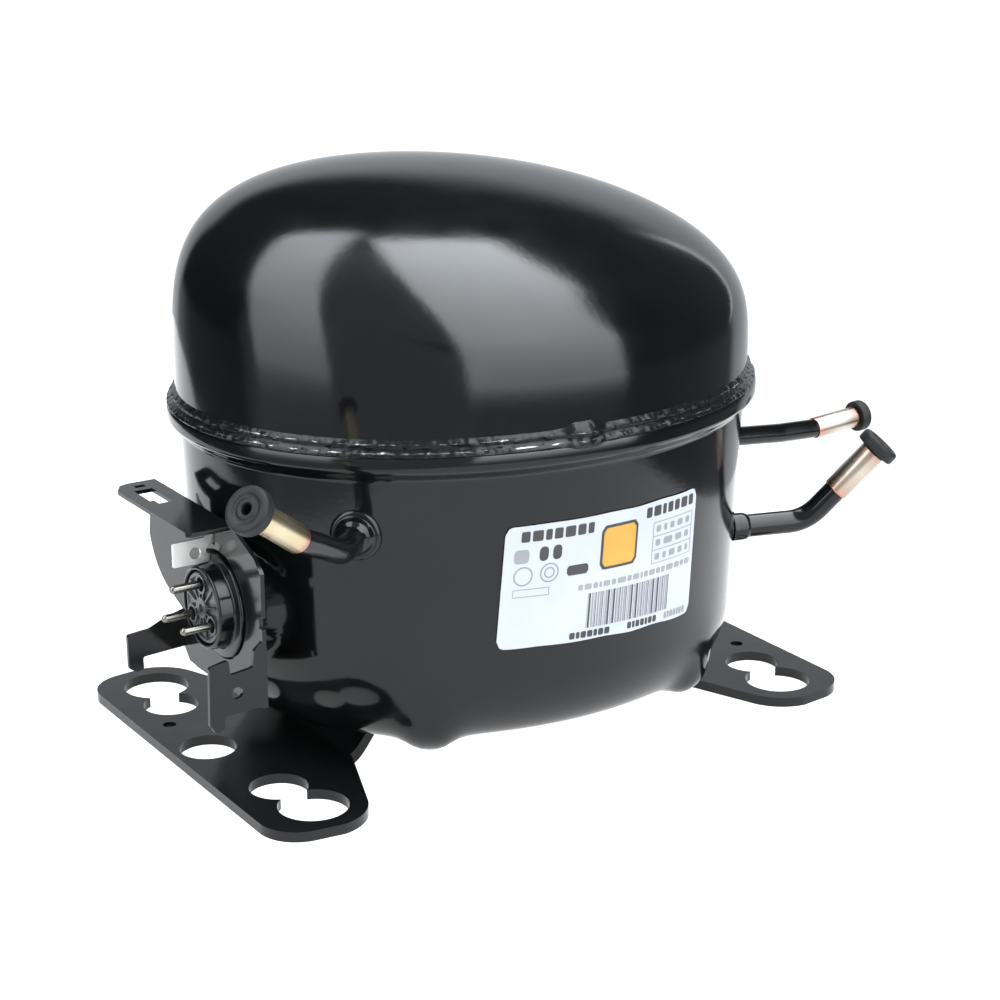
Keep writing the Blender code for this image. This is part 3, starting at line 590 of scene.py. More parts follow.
LABEL_FILM = film("label_film", (0.335, 0.355, 0.385), (0.365, 0.38, 0.40))
PRINT_BLACK = film("print_black", (0.015, 0.015, 0.017), (0.022, 0.022, 0.024), 0.45)
PRINT_GREY = film("print_grey", (0.17, 0.175, 0.185), (0.20, 0.205, 0.215), 0.45)
PRINT_AMBER = film("print_amber", (0.38, 0.20, 0.022), (0.41, 0.225, 0.03), 0.4)
SLEEVE_TONES = {                # colour in the middle of the sleeve and near its ends
    "discharge": ((0.54, 0.47, 0.33), (0.50, 0.41, 0.26)),
    "suction": ((0.46, 0.41, 0.34), (0.40, 0.30, 0.24)),
    "process": ((0.50, 0.47, 0.42), (0.40, 0.28, 0.23)),
}
STEEL = plated("machined_steel", (0.52, 0.52, 0.53), (0.66, 0.66, 0.67), (0.2, 0.35))
IRON = plated("grey_iron", (0.12, 0.12, 0.125), (0.22, 0.22, 0.225), (0.4, 0.6), 0.9)
ALUMINIUM = plated("die_cast", (0.60, 0.60, 0.61), (0.74, 0.74, 0.75), (0.3, 0.5))
COPPER = plated("enamelled_copper", (0.52, 0.20, 0.07), (0.68, 0.30, 0.12), (0.22, 0.38), 0.9, (1, 1, 4), 300)
SHEETS = stacked_sheet("stacked_sheet")
PLASTIC = moulded("moulded_plastic", (0.72, 0.70, 0.62), (0.80, 0.78, 0.71), (0.4, 0.55))
GASKET = moulded("gasket_sheet", (0.14, 0.22, 0.19), (0.20, 0.30, 0.26), (0.7, 0.85))
SLEEVING = moulded("lead_sleeving", (0.55, 0.54, 0.50), (0.70, 0.69, 0.64), (0.7, 0.85), 1200, 0.5)


def numbered(name, count=4):
    return [f"{name}_{i}" for i in range(1, count + 1)]


def paint_inner_nodes():
    """The sealed pump keeps its CAD shapes, with better materials."""
    wanted = (
        (SHEETS, ["stator_core"]), (COPPER, ["stator_winding"]), (ALUMINIUM, ["rotor"]),
        (IRON, ["cylinder_block", "cylinder_head", "crankshaft", "piston", "slide_block"]),
        (STEEL, ["oil_pickup", "oil_gallery_plug", "valve_plate", "suction_reed", "discharge_reed",
                 "discharge_loop", *numbered("head_screw")]),
        (PLASTIC, ["suction_muffler", "terminal_plug", *numbered("spring_seat_lower"),
                   *numbered("spring_seat_upper")]),
        (GASKET, ["cylinder_gasket"]), (SLEEVING, ["motor_leads"]),
    )
    for mat, names in wanted:
        for name in names:
            mesh = frame["nodes"][name].data
            if not mesh.materials:
                mesh.materials.append(mat)
            for index in range(len(mesh.materials)):
                mesh.materials[index] = mat


def make_springs():
    """Suspension springs: a coil of wire in place of each CAD spring, which is hidden."""
    count = SPRING_COILS * SPRING_STEPS
    for index in range(1, 5):
        low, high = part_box(f"spring_{index}")
        middle = (low + high) / 2 / MM - ORIGIN / MM
        bottom, top = low.z / MM + SPRING_WIRE_R, high.z / MM - SPRING_WIRE_R
        path = []
        for i in range(count + 1):
            turn = 2 * pi * i / SPRING_STEPS
            path.append(Vector((middle.x + SPRING_R * cos(turn), middle.y + SPRING_R * sin(turn),
                                bottom + (top - bottom) * i / count)))
        coil = loft(f"coil_spring_{index}", sweep_rings(path, SPRING_WIRE_R, 12), STEEL)
        world((middle.x, middle.y, bottom + SPRING_GRIP))
        world((middle.x, middle.y, top - SPRING_GRIP))
        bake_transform(coil)
        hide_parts(f"spring_{index}")


# ---------------------------------------------------------------- shell
def dome_point(share, turn, inward=0.0):
    """A point of the dome; share runs from 0 at the bead to 1 at the top."""
    lift = radians(0.4 + 89.6 * share)
    spread_out = cos(lift) ** (2 / DOME_SIDE_POWER) if share < 1 else 0.0
    rise = sin(lift) ** (2 / DOME_TOP_POWER)
    x, y = plan_point(inset(DOME, inward), turn)
    u, v = x * spread_out / DOME[0], y * spread_out / DOME[1]
    swell = 1 + DOME_TILT[0] * u + DOME_TILT[1] * v + DOME_TILT[2] * u * u
    return (x * spread_out, y * spread_out, DOME_Z + rise * (DOME_H - inward) * swell)


def make_upper_shell():
    shares = even_shares(lambda t: dome_point(t, 0.0), DOME_STEPS)[1:-1]
    outer = [plan_ring(DOME, SKIRT_Z), plan_ring(DOME, SKIRT_Z + 3.4)]
    outer += [[dome_point(share, turn) for turn in TURNS] for share in shares]
    inner = [plan_ring(inset(DOME, SHELL_WALL), SKIRT_Z)]
    inner += [[dome_point(share, turn, SHELL_WALL) for turn in TURNS] for share in shares[::2]]
    shell = loft("dome", outer[::-1] + inner, SHELL_PAINT, angle=40,
                 tips=(dome_point(1.0, 0.0), dome_point(1.0, 0.0, SHELL_WALL)))
    hand_over(shell, "black_enamel", "upper_shell")


def ease(value, low, high):
    t = min(1.0, max(0.0, (value - low) / (high - low)))
    return t * t * (3 - 2 * t)


def wall_half(z):
    """Half axes of the lower shell's outside below its rim, without the rounded bottom corner."""
    share = (z - FLOOR_Z) / (NECK_Z - FLOOR_Z)
    half = tuple(a + (b - a) * min(share, 1.0) for a, b in zip(LOWER_FOOT, LOWER_NECK))
    flare = ease(z, NECK_Z - 0.6, RIM_Z[0] + 0.4)
    return tuple(a + (b - a) * flare for a, b in zip(half, RIM))


def bulge_push(x, y, z):
    """How the spring seats push the shell's lower corners out, as a displacement."""
    push = Vector()
    for sx in (-1, 1):
        for sy in (-1, 1):
            bx, by = sx * SEAT_BULGE[0], sy * SEAT_BULGE[1]
            across = hypot(x - bx, y - by) / SEAT_BULGE_R[0]
            up = (z - SEAT_BULGE[2]) / SEAT_BULGE_R[1 if z > SEAT_BULGE[2] else 2]
            share = 1.0 / (1.0 + (across * across + up * up) ** 2)
            away = Vector((bx / LOWER_FOOT[0] * 0.55, by / LOWER_FOOT[1] * 0.75, -0.75)).normalized()
            push += away * (SEAT_BULGE_RISE * share)
    return push


def corner_sizes(turn):
    """Reach and height of the rounded bottom corner, which is longer towards the terminal end."""
    share = (0.5 - 0.5 * cos(turn)) ** 2
    return CORNER_REACH[0] + CORNER_REACH[1] * share, CORNER_RISE[0] + CORNER_RISE[1] * share


def corner_point(turn, angle):
    """A point of the bottom corner: angle 0 is on the floor, 90 degrees on the wall."""
    reach, rise = corner_sizes(turn)
    z = FLOOR_Z + rise * (1 - cos(angle))
    x, y = plan_point(inset(wall_half(z), reach * (1 - sin(angle))), turn)
    return (x, y, z)


def terminal_push(x, y, z):
    """The wall swells to a flat face round the terminal."""
    if x > 0:
        return Vector()
    away = hypot(y - TERMINAL[0], z - TERMINAL[1])
    share = 1 - ease(away, BOSS_R - 7, BOSS_R - 1)
    return Vector((min(0.0, BOSS_FACE_X - x) * share, 0, 0))


def make_lower_shell():
    rings = [plan_ring(inset(LOWER_FOOT, d), FLOOR_Z) for d in (62, 56, 50, 43, 36, 31, 27)]
    for step in range(CORNER_STEPS + 1):
        rings.append([corner_point(turn, pi / 2 * step / CORNER_STEPS) for turn in TURNS])
    start = [corner_sizes(turn)[1] + FLOOR_Z for turn in TURNS]
    for step in range(1, WALL_STEPS + 1):
        heights = [low + (NECK_Z - 1 - low) * step / WALL_STEPS for low in start]
        rings.append([(*plan_point(wall_half(z), turn), z) for turn, z in zip(TURNS, heights)])
    for step in range(1, NECK_STEPS + 1):
        z = NECK_Z - 1 + (RIM_Z[0] + 0.4 - NECK_Z + 1) * step / NECK_STEPS
        rings.append(plan_ring(wall_half(z), z))
    for back, down in ((0.0, 1.4), (0.1, 0.9), (0.35, 0.45), (0.75, 0.12), (1.2, 0.0)):
        rings.append(plan_ring(inset(RIM, back), RIM_Z[1] - down))
    pushed = [[Vector(point) + (bulge_push(*point) + terminal_push(*point)) for point in ring]
              for ring in rings]
    inner = [(inset(DOME, -0.4), RIM_Z[1]), (inset(DOME, -0.4), SKIRT_Z - 0.3),
             (inset(LOWER_NECK, SHELL_WALL), NECK_Z + 1.5), (inset(LOWER_FOOT, SHELL_WALL), FLOOR_Z + 38),
             (inset(LOWER_FOOT, 6.0), FLOOR_Z + 24), (inset(LOWER_FOOT, 14.0), FLOOR_Z + 10),
             (inset(LOWER_FOOT, 30.0), FLOOR_Z + 4), (inset(LOWER_FOOT, 62), FLOOR_Z + SHELL_WALL)]
    pushed += [plan_ring(half, level) for half, level in inner]
    shell = loft("lower_can", pushed, SHELL_PAINT, angle=50)
    hand_over(shell, "black_enamel", "lower_shell")


def seam_profile(spot):
    """The seam's section at a spot: distance out from the dome, height and how lumpy the blob is there."""
    slow = 0.15 * noise.noise(spot * 0.5 + Vector((9, 4, 7)))

    def rough(amount, level):
        coarse = noise.noise(spot * 0.9 + Vector((0, 0, level * 1.3)))
        fine = noise.noise(spot * 2.2 + Vector((5, 1, level * 1.9)))
        return amount * (0.6 * coarse + 0.3 * fine)

    profile = (
        (-0.3, 105.1), (0.15 + rough(0.3, 0), 104.8), (0.75 + rough(0.7, 1), 104.3 + rough(0.3, 9)),
        (1.15 + rough(1.0, 2), 103.8), (1.2 + rough(0.9, 3) + slow, 103.3),
        (0.95 + rough(0.4, 4), 102.8), (0.9, 102.4), (1.2 + rough(0.3, 5), 102.05),
        (1.8 + rough(0.9, 6) - slow, 101.75 + rough(0.3, 10)), (2.25 + rough(0.9, 7), 101.35),
        (2.45 + rough(0.7, 8), 100.95), (2.5, 100.6), (2.3, 100.3), (-0.3, 100.2),
    )
    return [(out, z, rough(0.5, z)) for out, z in profile]


def make_weld_bead():
    """Rough seam: two rows of scaly ripples with a trough between, and a blob where it starts and ends."""
    sections = []
    for i in range(SEAM_STEPS):
        turn = 2 * pi * i / SEAM_STEPS
        away = ((turn - radians(SEAM_END) + pi) % (2 * pi) - pi) * SEAM_END_R
        blob = 1.0 / (1.0 + (away / 4.2) ** 6)
        ring = []
        for out, z, lumpy in seam_profile(Vector((cos(turn), sin(turn), 0)) * SEAM_GRAIN):
            lump = blob * sin(pi * min(1.0, max(0.0, (z - 99.6) / 6.4))) * (1.2 + lumpy)
            pimple = 0.9 / (1.0 + (away / 1.5) ** 4) / (1.0 + (z - 102.4) ** 4)
            x, y = plan_point(inset(DOME, -max(out + lump + pimple, -0.35)), turn)
            ring.append((x, y, z + blob * (z - 102.5) * 0.5))
        sections.append(ring)
    bead = loft("weld_seam", list(zip(*sections)), WELD_SKIN, closed=True, angle=60)
    hand_over(bead, "painted_weld", "weld_bead")


# ---------------------------------------------------------------- feet
def foot_outline():
    x, y, _ = GROMMET_WIDE
    corner = (-FOOT_OUTER_X + FOOT_CORNER_R, y + 2.2)
    upper = arc((-x, y), FOOT_LOBE_R, 22, 84, 18) + arc(corner, FOOT_CORNER_R, 96, 180, 18)
    lower = [(px, -py) for px, py in reversed(upper)]
    inner = [(-FOOT_INNER_X, -FOOT_INNER_Y), (-FOOT_INNER_X, FOOT_INNER_Y)]
    return inner + upper + lower


def ramp_profile(steps=14):
    """Section of the foot's middle, which bends up from the inner edge to the shell's floor."""
    start = -FOOT_INNER_X - 2.0
    run = start + RAMP_END_X
    top, under = [(start - 3.0, FOOT_THICK)], [(start - 3.0, 0.0)]
    for i in range(steps + 1):
        t = i / steps
        rise = RAMP_RISE * t * t * (2 - t)
        slope = RAMP_RISE * (4 * t - 3 * t * t) / -run
        top.append((start - run * t, FOOT_THICK + rise))
        under.append((start - run * t, FOOT_THICK + rise - FOOT_THICK * sqrt(1 + slope * slope)))
    return top + under[::-1]


def shell_space():
    """The lower shell's outside and a thin gap, as a tool for cutting the feet."""
    turns = TURNS[::2]
    levels = [[(*plan_point(inset(LOWER_FOOT, 45), turn), FLOOR_Z - 0.2) for turn in turns]]
    for step in range(13):
        corner = [corner_point(turn, pi / 2 * step / 12) for turn in turns]
        levels.append([Vector(point) - Vector((0, 0, 0.2)) for point in corner])
    levels.append([(*plan_point(wall_half(50), turn), 50) for turn in turns])
    return loft("shell_space", levels, None)


def drill(x, y, radius, segments=72):
    return rod("drill", (x, y, -2), (x, y, 2 * FOOT_THICK), radius, None, segments)


def make_foot(name, side, node):
    """Flat sheet whose middle bends up under the shell and is welded to it."""
    plate = prism(name, foot_outline(), 0, FOOT_THICK, FOOT_PAINT)
    join(plate, prism("ramp", ramp_profile(), -FOOT_INNER_Y, FOOT_INNER_Y, None, "XZ"))
    holes = [(x, y * sy, radius) for sy in (-1, 1) for x, y, radius in (GROMMET_WIDE, GROMMET_NARROW)]
    if side < 0:
        holes.append(MIDDLE_HOLE)
    cut(plate, *[drill(-x, y, radius) for x, y, radius in holes], drill(*SMALL_HOLE[side], SMALL_HOLE_R, 32))
    if side > 0:
        for vert in plate.data.vertices:
            vert.co.x = 2 * ORIGIN.x - vert.co.x
        plate.data.flip_normals()
    cut(plate, shell_space())
    soften(plate, 0.35, 2, 40)
    hand_over(plate, "black_enamel", node)


# ---------------------------------------------------------------- terminal side
def make_bracket():
    lobe = arc((10.0, 66.0), 20.5, -68, -14, 20)
    outline = [(27.0, BRACKET_TOP_Z), (-24.0, BRACKET_TOP_Z), (-37.6, 72.4), (LUG_Y, 69.0), (LUG_Y, 30.4),
               (-34.0, 29.0), (-0.7, 28.2), (5.8, 28.6), (ARM_Y + SHEET, 32.5), (ARM_Y + SHEET, 43.8)]
    outline += lobe
    bracket = prism("relay_bracket", outline, PLATE_X, PLATE_X + SHEET, BRACKET_PAINT, "YZ")
    near = PLATE_X + SHEET
    flange = rounded([(near, -24.0), (-103.2, -24.0), (-104.2, -22.5), (-104.2, 22.0), (-101.8, 26.0),
                      (-99.0, 27.0), (near, 27.0)], 0.9, 3)
    lug = rounded([(near, 50.8), (-94.0, 47.8), (-94.7, 43.0), (-101.4, 42.2), (-101.8, 46.7),
                   (-107.6, 45.6), (-108.0, 29.0), (-106.2, 26.1), (-103.6, 27.0), (-103.4, 30.7),
                   (-94.0, 31.0), (near, 30.4)], 0.8, 3)
    arm = rounded([(near, 43.8), (-96.5, 42.3), (-102.3, 39.8), (-109.4, 39.2), (-109.4, 29.1),
                   (-107.0, 27.6), (-104.8, 28.1), (-104.9, 31.8), (near, 32.5)], 0.8, 3)
    join(bracket, prism("flange", flange, BRACKET_TOP_Z - SHEET, BRACKET_TOP_Z, None),
         prism("lug", lug, LUG_Y, LUG_Y + SHEET, None, "XZ"),
         prism("arm", arm, ARM_Y, ARM_Y + SHEET, None, "XZ"))
    cut(bracket,
        rod("terminal_window", (-95, *TERMINAL), (-88, *TERMINAL), CUP_FLANGE_R + 0.5, None, 96),
        block("flange_slot", (-100.4, 5.0, 74), (-94.8, 19.2, 80)),
        block("small_slot", (-98.6, 21.6, 74), (-95.4, 23.6, 80)),
        block("slot_relief", (-95, 4.0, 71.0), (-89, 40.0, BRACKET_TOP_Z - SHEET)),
        rod("lug_hole", (-99.5, -44, 36.7), (-99.5, -38, 36.7), 1.7),
        block("earth_slot", (-93, EARTH_Y - 0.9, 69.6), (-89, EARTH_Y + SHEET + 0.7, 75.0)),
        block("edge_notch", (-95, LUG_Y - 2, 53.2), (-88, LUG_Y + 1.6, 56.4)),
        block("fold_relief", (-95, LUG_Y + SHEET + 0.5, 28.0), (-89, LUG_Y + SHEET + 1.5, 33.0)))
    soften(bracket, 0.22, 2, 40)
    hand_over(bracket, "black_enamel", "terminal_bracket")


def make_earth_blade():
    outline = rounded([(-103.9, 64.9), (-92.7, 64.9), (-92.7, 70.2), (-90.7, 70.2), (-90.7, 74.2),
                       (-92.8, 74.2), (-94.2, 72.2), (-103.9, 72.0)], 0.5, 3)
    blade = prism("earth_blade", outline, EARTH_Y - 0.1, EARTH_Y + 0.7, ZINC, "XZ")
    for x, z, radius in ((-97.2, 68.1, 1.7), (-92.3, 68.4, 1.5)):
        cut(blade, rod("eye", (x, EARTH_Y - 3, z), (x, EARTH_Y + 3, z), radius, None, 40))
    soften(blade, 0.16, 2, 40)
    hand_over(blade, "zinc_plate", "earth_tab")


def pin_places():
    for turn in (90, 210, 330):
        angle = radians(turn)
        yield TERMINAL[0] + PIN_CIRCLE_R * cos(angle), TERMINAL[1] + PIN_CIRCLE_R * sin(angle)


def facing(name, profile, mat, place=TERMINAL, back=TERMINAL_BACK_X, **options):
    """A piece turned about a line that points straight out of the terminal."""
    return turned(name, profile, (back, *place), (-1, 0, 0), mat, **options)


def make_cup():
    outside = ((0, CUP_R), (10.3, CUP_R), (10.3, CUP_FLANGE_R), (12.4, CUP_FLANGE_R), (12.7, 12.3),
               (16.9, 11.9), (17.2, 11.1), (17.0, 10.7), (14.6, 10.6), (14.6, 0.02))
    cup = facing("terminal_header", [(0, 0.02)] + smooth_profile(outside, 0.7, 4), CUP_PAINT,
                 segments=96, angle=40)
    hand_over(cup, "black_enamel", "terminal_cup")


def insulator_rib(turn, near=3.0, far=9.2):
    """A raised spoke on the insulator's face."""
    axis = Vector((0, cos(turn), sin(turn)))
    side = Vector((0, -sin(turn), cos(turn))) * 0.34
    middle = Vector((0, *TERMINAL))
    rings = []
    for x, thin in ((-96.2, 1.0), (-97.1, 0.6)):
        rings.append([Vector((x, 0, 0)) + middle + axis * r + side * s * thin
                      for r, s in ((near, -1), (far, -1), (far, 1), (near, 1))])
    return loft("rib", rings, None)


def make_insulator():
    profile = smooth_profile(((14.9, 0.02), (14.9, 10.3), (16.4, 10.3), (16.8, 9.9), (16.8, 8.9), (16.4, 8.7),
                              (16.4, 0.02)), 0.3, 3)
    disc = facing("insulator_face", profile, INSULATOR, segments=96, angle=40)
    ribs = [insulator_rib(2 * pi * (k + 0.5) / 12) for k in range(12)]
    hub = facing("hub", ((16.2, 3.2), (17.2, 3.0), (17.2, 1.2), (16.6, 1.0)), None, segments=32)
    join(disc, *ribs, hub)
    for place in pin_places():
        collar = facing("collar", ((15.5, 3.0), (17.15, 2.8), (17.15, 2.1), (15.6, 2.0)), None, place,
                        closed=True, segments=32)
        cut(disc, rod("eye", (-100, *place), (-95.4, *place), 2.5))
        join(disc, collar)
    soften(disc, 0.08, 1, 40)
    hand_over(disc, "grey_insulator", "terminal_disc")


def make_pins():
    for index, place in enumerate(pin_places(), start=1):
        profile = ((0, 0.02), (0, PIN_R), (31.3, PIN_R), (32.0, 0.9), (32.4, 0.5), (32.4, 0.02))
        pin = facing(f"contact_pin_{index}", smooth_profile(profile, 0.3, 3), PIN_STEEL, place, PIN_ROOT_X,
                     segments=28)
        hand_over(pin, "machined_steel", f"terminal_pin_{index}")
        profile = smooth_profile(((14.7, 1.16), (14.7, 2.0), (15.6, 1.7), (16.1, 1.16)), 0.2, 3)
        seal = facing(f"pin_seal_{index}", profile, INSULATOR, place, closed=True, segments=32)
        hand_over(seal, "grey_insulator")


# ---------------------------------------------------------------- tubes
def make_tube(name, path, tube_r, bend):
    """The bent tube, which ends inside its sleeve."""
    start, sleeve_start, sleeve_end = Vector(path[0]), Vector(path[-2]), Vector(path[-1])
    last = sleeve_start + (sleeve_end - sleeve_start).normalized() * SLEEVE_LAP
    route = rounded_path([start, *path[2:-1], last], bend, 14)
    outer, inner = [sweep_rings(route, radius, 40) for radius in (tube_r, tube_r - TUBE_WALL)]
    tube = loft(f"{name}_line", outer + inner[::-1], TUBE_PAINT, closed=True, angle=50)
    hand_over(tube, "black_enamel", f"{name}_tube")


def make_sleeve(name, start, end, tube_r, sleeve_r):
    """The plated end of the tube, slightly uneven by hand work."""
    length = (end - start).length
    bore = tube_r - TUBE_WALL
    body = smooth_profile(((0.2, tube_r + 0.05), (0, sleeve_r - 0.12), (0.35, sleeve_r),
                           (length - 0.2, sleeve_r), (length, sleeve_r - 0.2), (length, bore)), 0.15, 3)
    body += [(SLEEVE_LAP + 0.3, bore), (SLEEVE_LAP + 0.3, tube_r + 0.05)]
    metal = sleeve_metal(f"{name}_sleeve_metal", start, end, length, *SLEEVE_TONES[name])

    def worn(turn, along):
        return 0.035 * noise.noise(Vector((cos(turn) * 2, sin(turn) * 2, along * 0.35)))

    sleeve = turned(f"{name}_ferrule", body, start, end - start, metal, closed=True, angle=40, wobble=worn)
    hand_over(sleeve, "bright_sleeve", f"{name}_sleeve")


def make_collar(name, start, root, radii, flare):
    """Lumpy fillet where the tube leaves the shell, thin where the flare is small."""
    tube_r = radii[0]
    seed = Vector((tube_r * 3, *radii[1:]))

    def lumpy(turn, along):
        return 0.12 * noise.noise(Vector((cos(turn) * 1.2, sin(turn) * 1.2, along * 0.3)) + seed)

    steps = ((-1.6, 3.9), (0.2, 3.8), (0.9, 2.9), (0.8, 2.3), (1.5, 1.8), (2.4, 1.3), (3.2, 0.5), (3.9, 0.05))
    fillet = [(-1.6, tube_r + 0.05)] + [(along, tube_r + min(out_by, flare)) for along, out_by in steps]
    collar = turned(f"{name}_collar", smooth_profile(fillet, 0.6, 4), root, root - start, TUBE_PAINT,
                    closed=True, segments=64, angle=80, wobble=lumpy)
    hand_over(collar, "black_enamel", f"{name}_braze_ring")


def make_cap(name, start, end, bore, cap_r):
    """Rubber plug with a dished face."""
    plug = [(-6.0, 0.02), (-6.0, bore - 0.7), (-5.4, bore - 0.3), (0.3, bore - 0.3), (0.3, cap_r - 0.25)]
    face = [(0.8, cap_r), (3.2, cap_r), (3.9, cap_r - 0.35), (4.1, cap_r - 0.9), (4.0, cap_r * 0.66),
            (3.65, cap_r * 0.60), (3.6, cap_r * 0.47), (3.95, cap_r * 0.42), (3.95, 1.75), (3.4, 1.5),
            (-2.0, 1.4), (-2.0, 0.02)]
    cap = turned(f"{name}_travel_cap", smooth_profile(plug + face, 0.28, 3), end, end - start, RUBBER,
                 segments=56, angle=45)
    hand_over(cap, "cap_rubber", f"{name}_cap", body=f"{name}_cap")


def make_tube_set(name, path, radii, bend, flare):
    start, root, sleeve_start, sleeve_end = [Vector(path[k]) for k in (0, 1, -2, -1)]
    make_tube(name, path, radii[0], bend)
    make_sleeve(name, sleeve_start, sleeve_end, *radii[:2])
    make_collar(name, start, root, radii, flare)
    make_cap(name, sleeve_start, sleeve_end, radii[0] - TUBE_WALL, radii[2])


# ---------------------------------------------------------------- label
def label_surface(across, down, proud):
    """A point on the label: across from 0 at the left to 1, down from 0 at the top to 1."""
    top = LABEL_TOP[0] + (LABEL_TOP[1] - LABEL_TOP[0]) * across
    bottom = LABEL_BOTTOM[0] + (LABEL_BOTTOM[1] - LABEL_BOTTOM[0]) * across
    left = LABEL_LEFT[0] + (LABEL_LEFT[1] - LABEL_LEFT[0]) * down
    z = top + (bottom - top) * down
    x, y = plan_point(inset(wall_half(z), -0.3 - proud), radians(left + (LABEL_RIGHT - left) * across))
    return (x, y, z)


def corner_trim(edge, radius):
    """How far a rounded corner pulls in the top and bottom at a distance from the label's side."""
    if edge >= radius:
        return 0.0
    return (1 - sqrt(max(0.0, 1 - (1 - edge / radius) ** 2))) * radius * LABEL_RATIO


def slab(bm, columns, proud, thick, mat_index=0):
    """A thin plate that follows the shell's curve; each column is (across, top, bottom)."""
    (lt, lb), (ht, hb) = [
        [[bm.verts.new(label_surface(column[0], column[end], depth)) for column in columns] for end in (1, 2)]
        for depth in (proud, proud + thick)]
    faces = [(ht[0], lt[0], lb[0], hb[0]), (ht[-1], hb[-1], lb[-1], lt[-1])]
    for i in range(len(columns) - 1):
        faces += [(ht[i], hb[i], hb[i + 1], ht[i + 1]), (lt[i], lt[i + 1], lb[i + 1], lb[i]),
                  (ht[i], ht[i + 1], lt[i + 1], lt[i]), (hb[i], lb[i], lb[i + 1], hb[i + 1])]
    for corners in faces:
        bm.faces.new(corners).material_index = mat_index


def strip(bm, left, top, right, bottom, proud=PRINT_PROUD, mat_index=0, radius=0.0):
    """A printed rectangle, its corners rounded where it has a radius."""
    steps = max(12 if radius else 1, int((right - left) * 60))
    columns = []
    for i in range(steps + 1):
        share = i / steps
        trim = corner_trim(min(share, 1 - share) * (right - left), radius)
        columns.append((left + (right - left) * share, top + trim, bottom - trim))
    slab(bm, columns, proud, PRINT_THICK, mat_index)


def row_of_blocks(bm, left, right, top, bottom, widths, gap, mat_index):
    """Plain blocks in a row, their widths in the given proportions."""
    unit = (right - left - gap * (len(widths) - 1)) / sum(widths)
    x = left
    for wide in widths:
        strip(bm, x, top, x + wide * unit, bottom, mat_index=mat_index, radius=min(0.006, wide * unit * 0.3))
        x += wide * unit + gap


def frame_mark(bm, left, top, right, bottom, line, mat_index):
    tall = line * LABEL_RATIO
    strip(bm, left, top, right, top + tall, mat_index=mat_index)
    strip(bm, left, bottom - tall, right, bottom, mat_index=mat_index)
    strip(bm, left, top + tall, left + line, bottom - tall, mat_index=mat_index)
    strip(bm, right - line, top + tall, right, bottom - tall, mat_index=mat_index)


def circle_mark(bm, across, down, radius, line, mat_index, steps=28):
    low, high = PRINT_PROUD, PRINT_PROUD + PRINT_THICK
    rings = []
    for reach, depth in ((radius, low), (radius, high), (radius - line, high), (radius - line, low)):
        rings.append([bm.verts.new(label_surface(across + reach * cos(2 * pi * i / steps),
                                                 down + reach * LABEL_RATIO * sin(2 * pi * i / steps), depth))
                      for i in range(steps)])
    for a, b in zip(rings, rings[1:] + rings[:1]):
        for i in range(steps):
            bm.faces.new((a[i], a[(i + 1) % steps], b[(i + 1) % steps], b[i])).material_index = mat_index


LABEL_WIDTH = (Vector(label_surface(1, 0.5, 0)) - Vector(label_surface(0, 0.5, 0))).length
LABEL_RATIO = LABEL_WIDTH / (LABEL_TOP[0] - LABEL_BOTTOM[0])


def make_label():
    """The label's film, with slightly wavy edges."""
    columns = []
    for i in range(LABEL_STEPS + 1):
        a = i / LABEL_STEPS
        trim = corner_trim(min(a, 1 - a), LABEL_CORNER)
        wave = 0.004 * sin(a * 23) + 0.006 * noise.noise(Vector((a * 7, 2, 0)))
        columns.append((a, trim + wave * 0.6, 1 - trim - 0.008 + wave))
    bm = bmesh.new()
    slab(bm, columns, 0.0, LABEL_THICK)
    hand_over(finish("rating_film", bm, LABEL_FILM, 40), "label_film", "label")


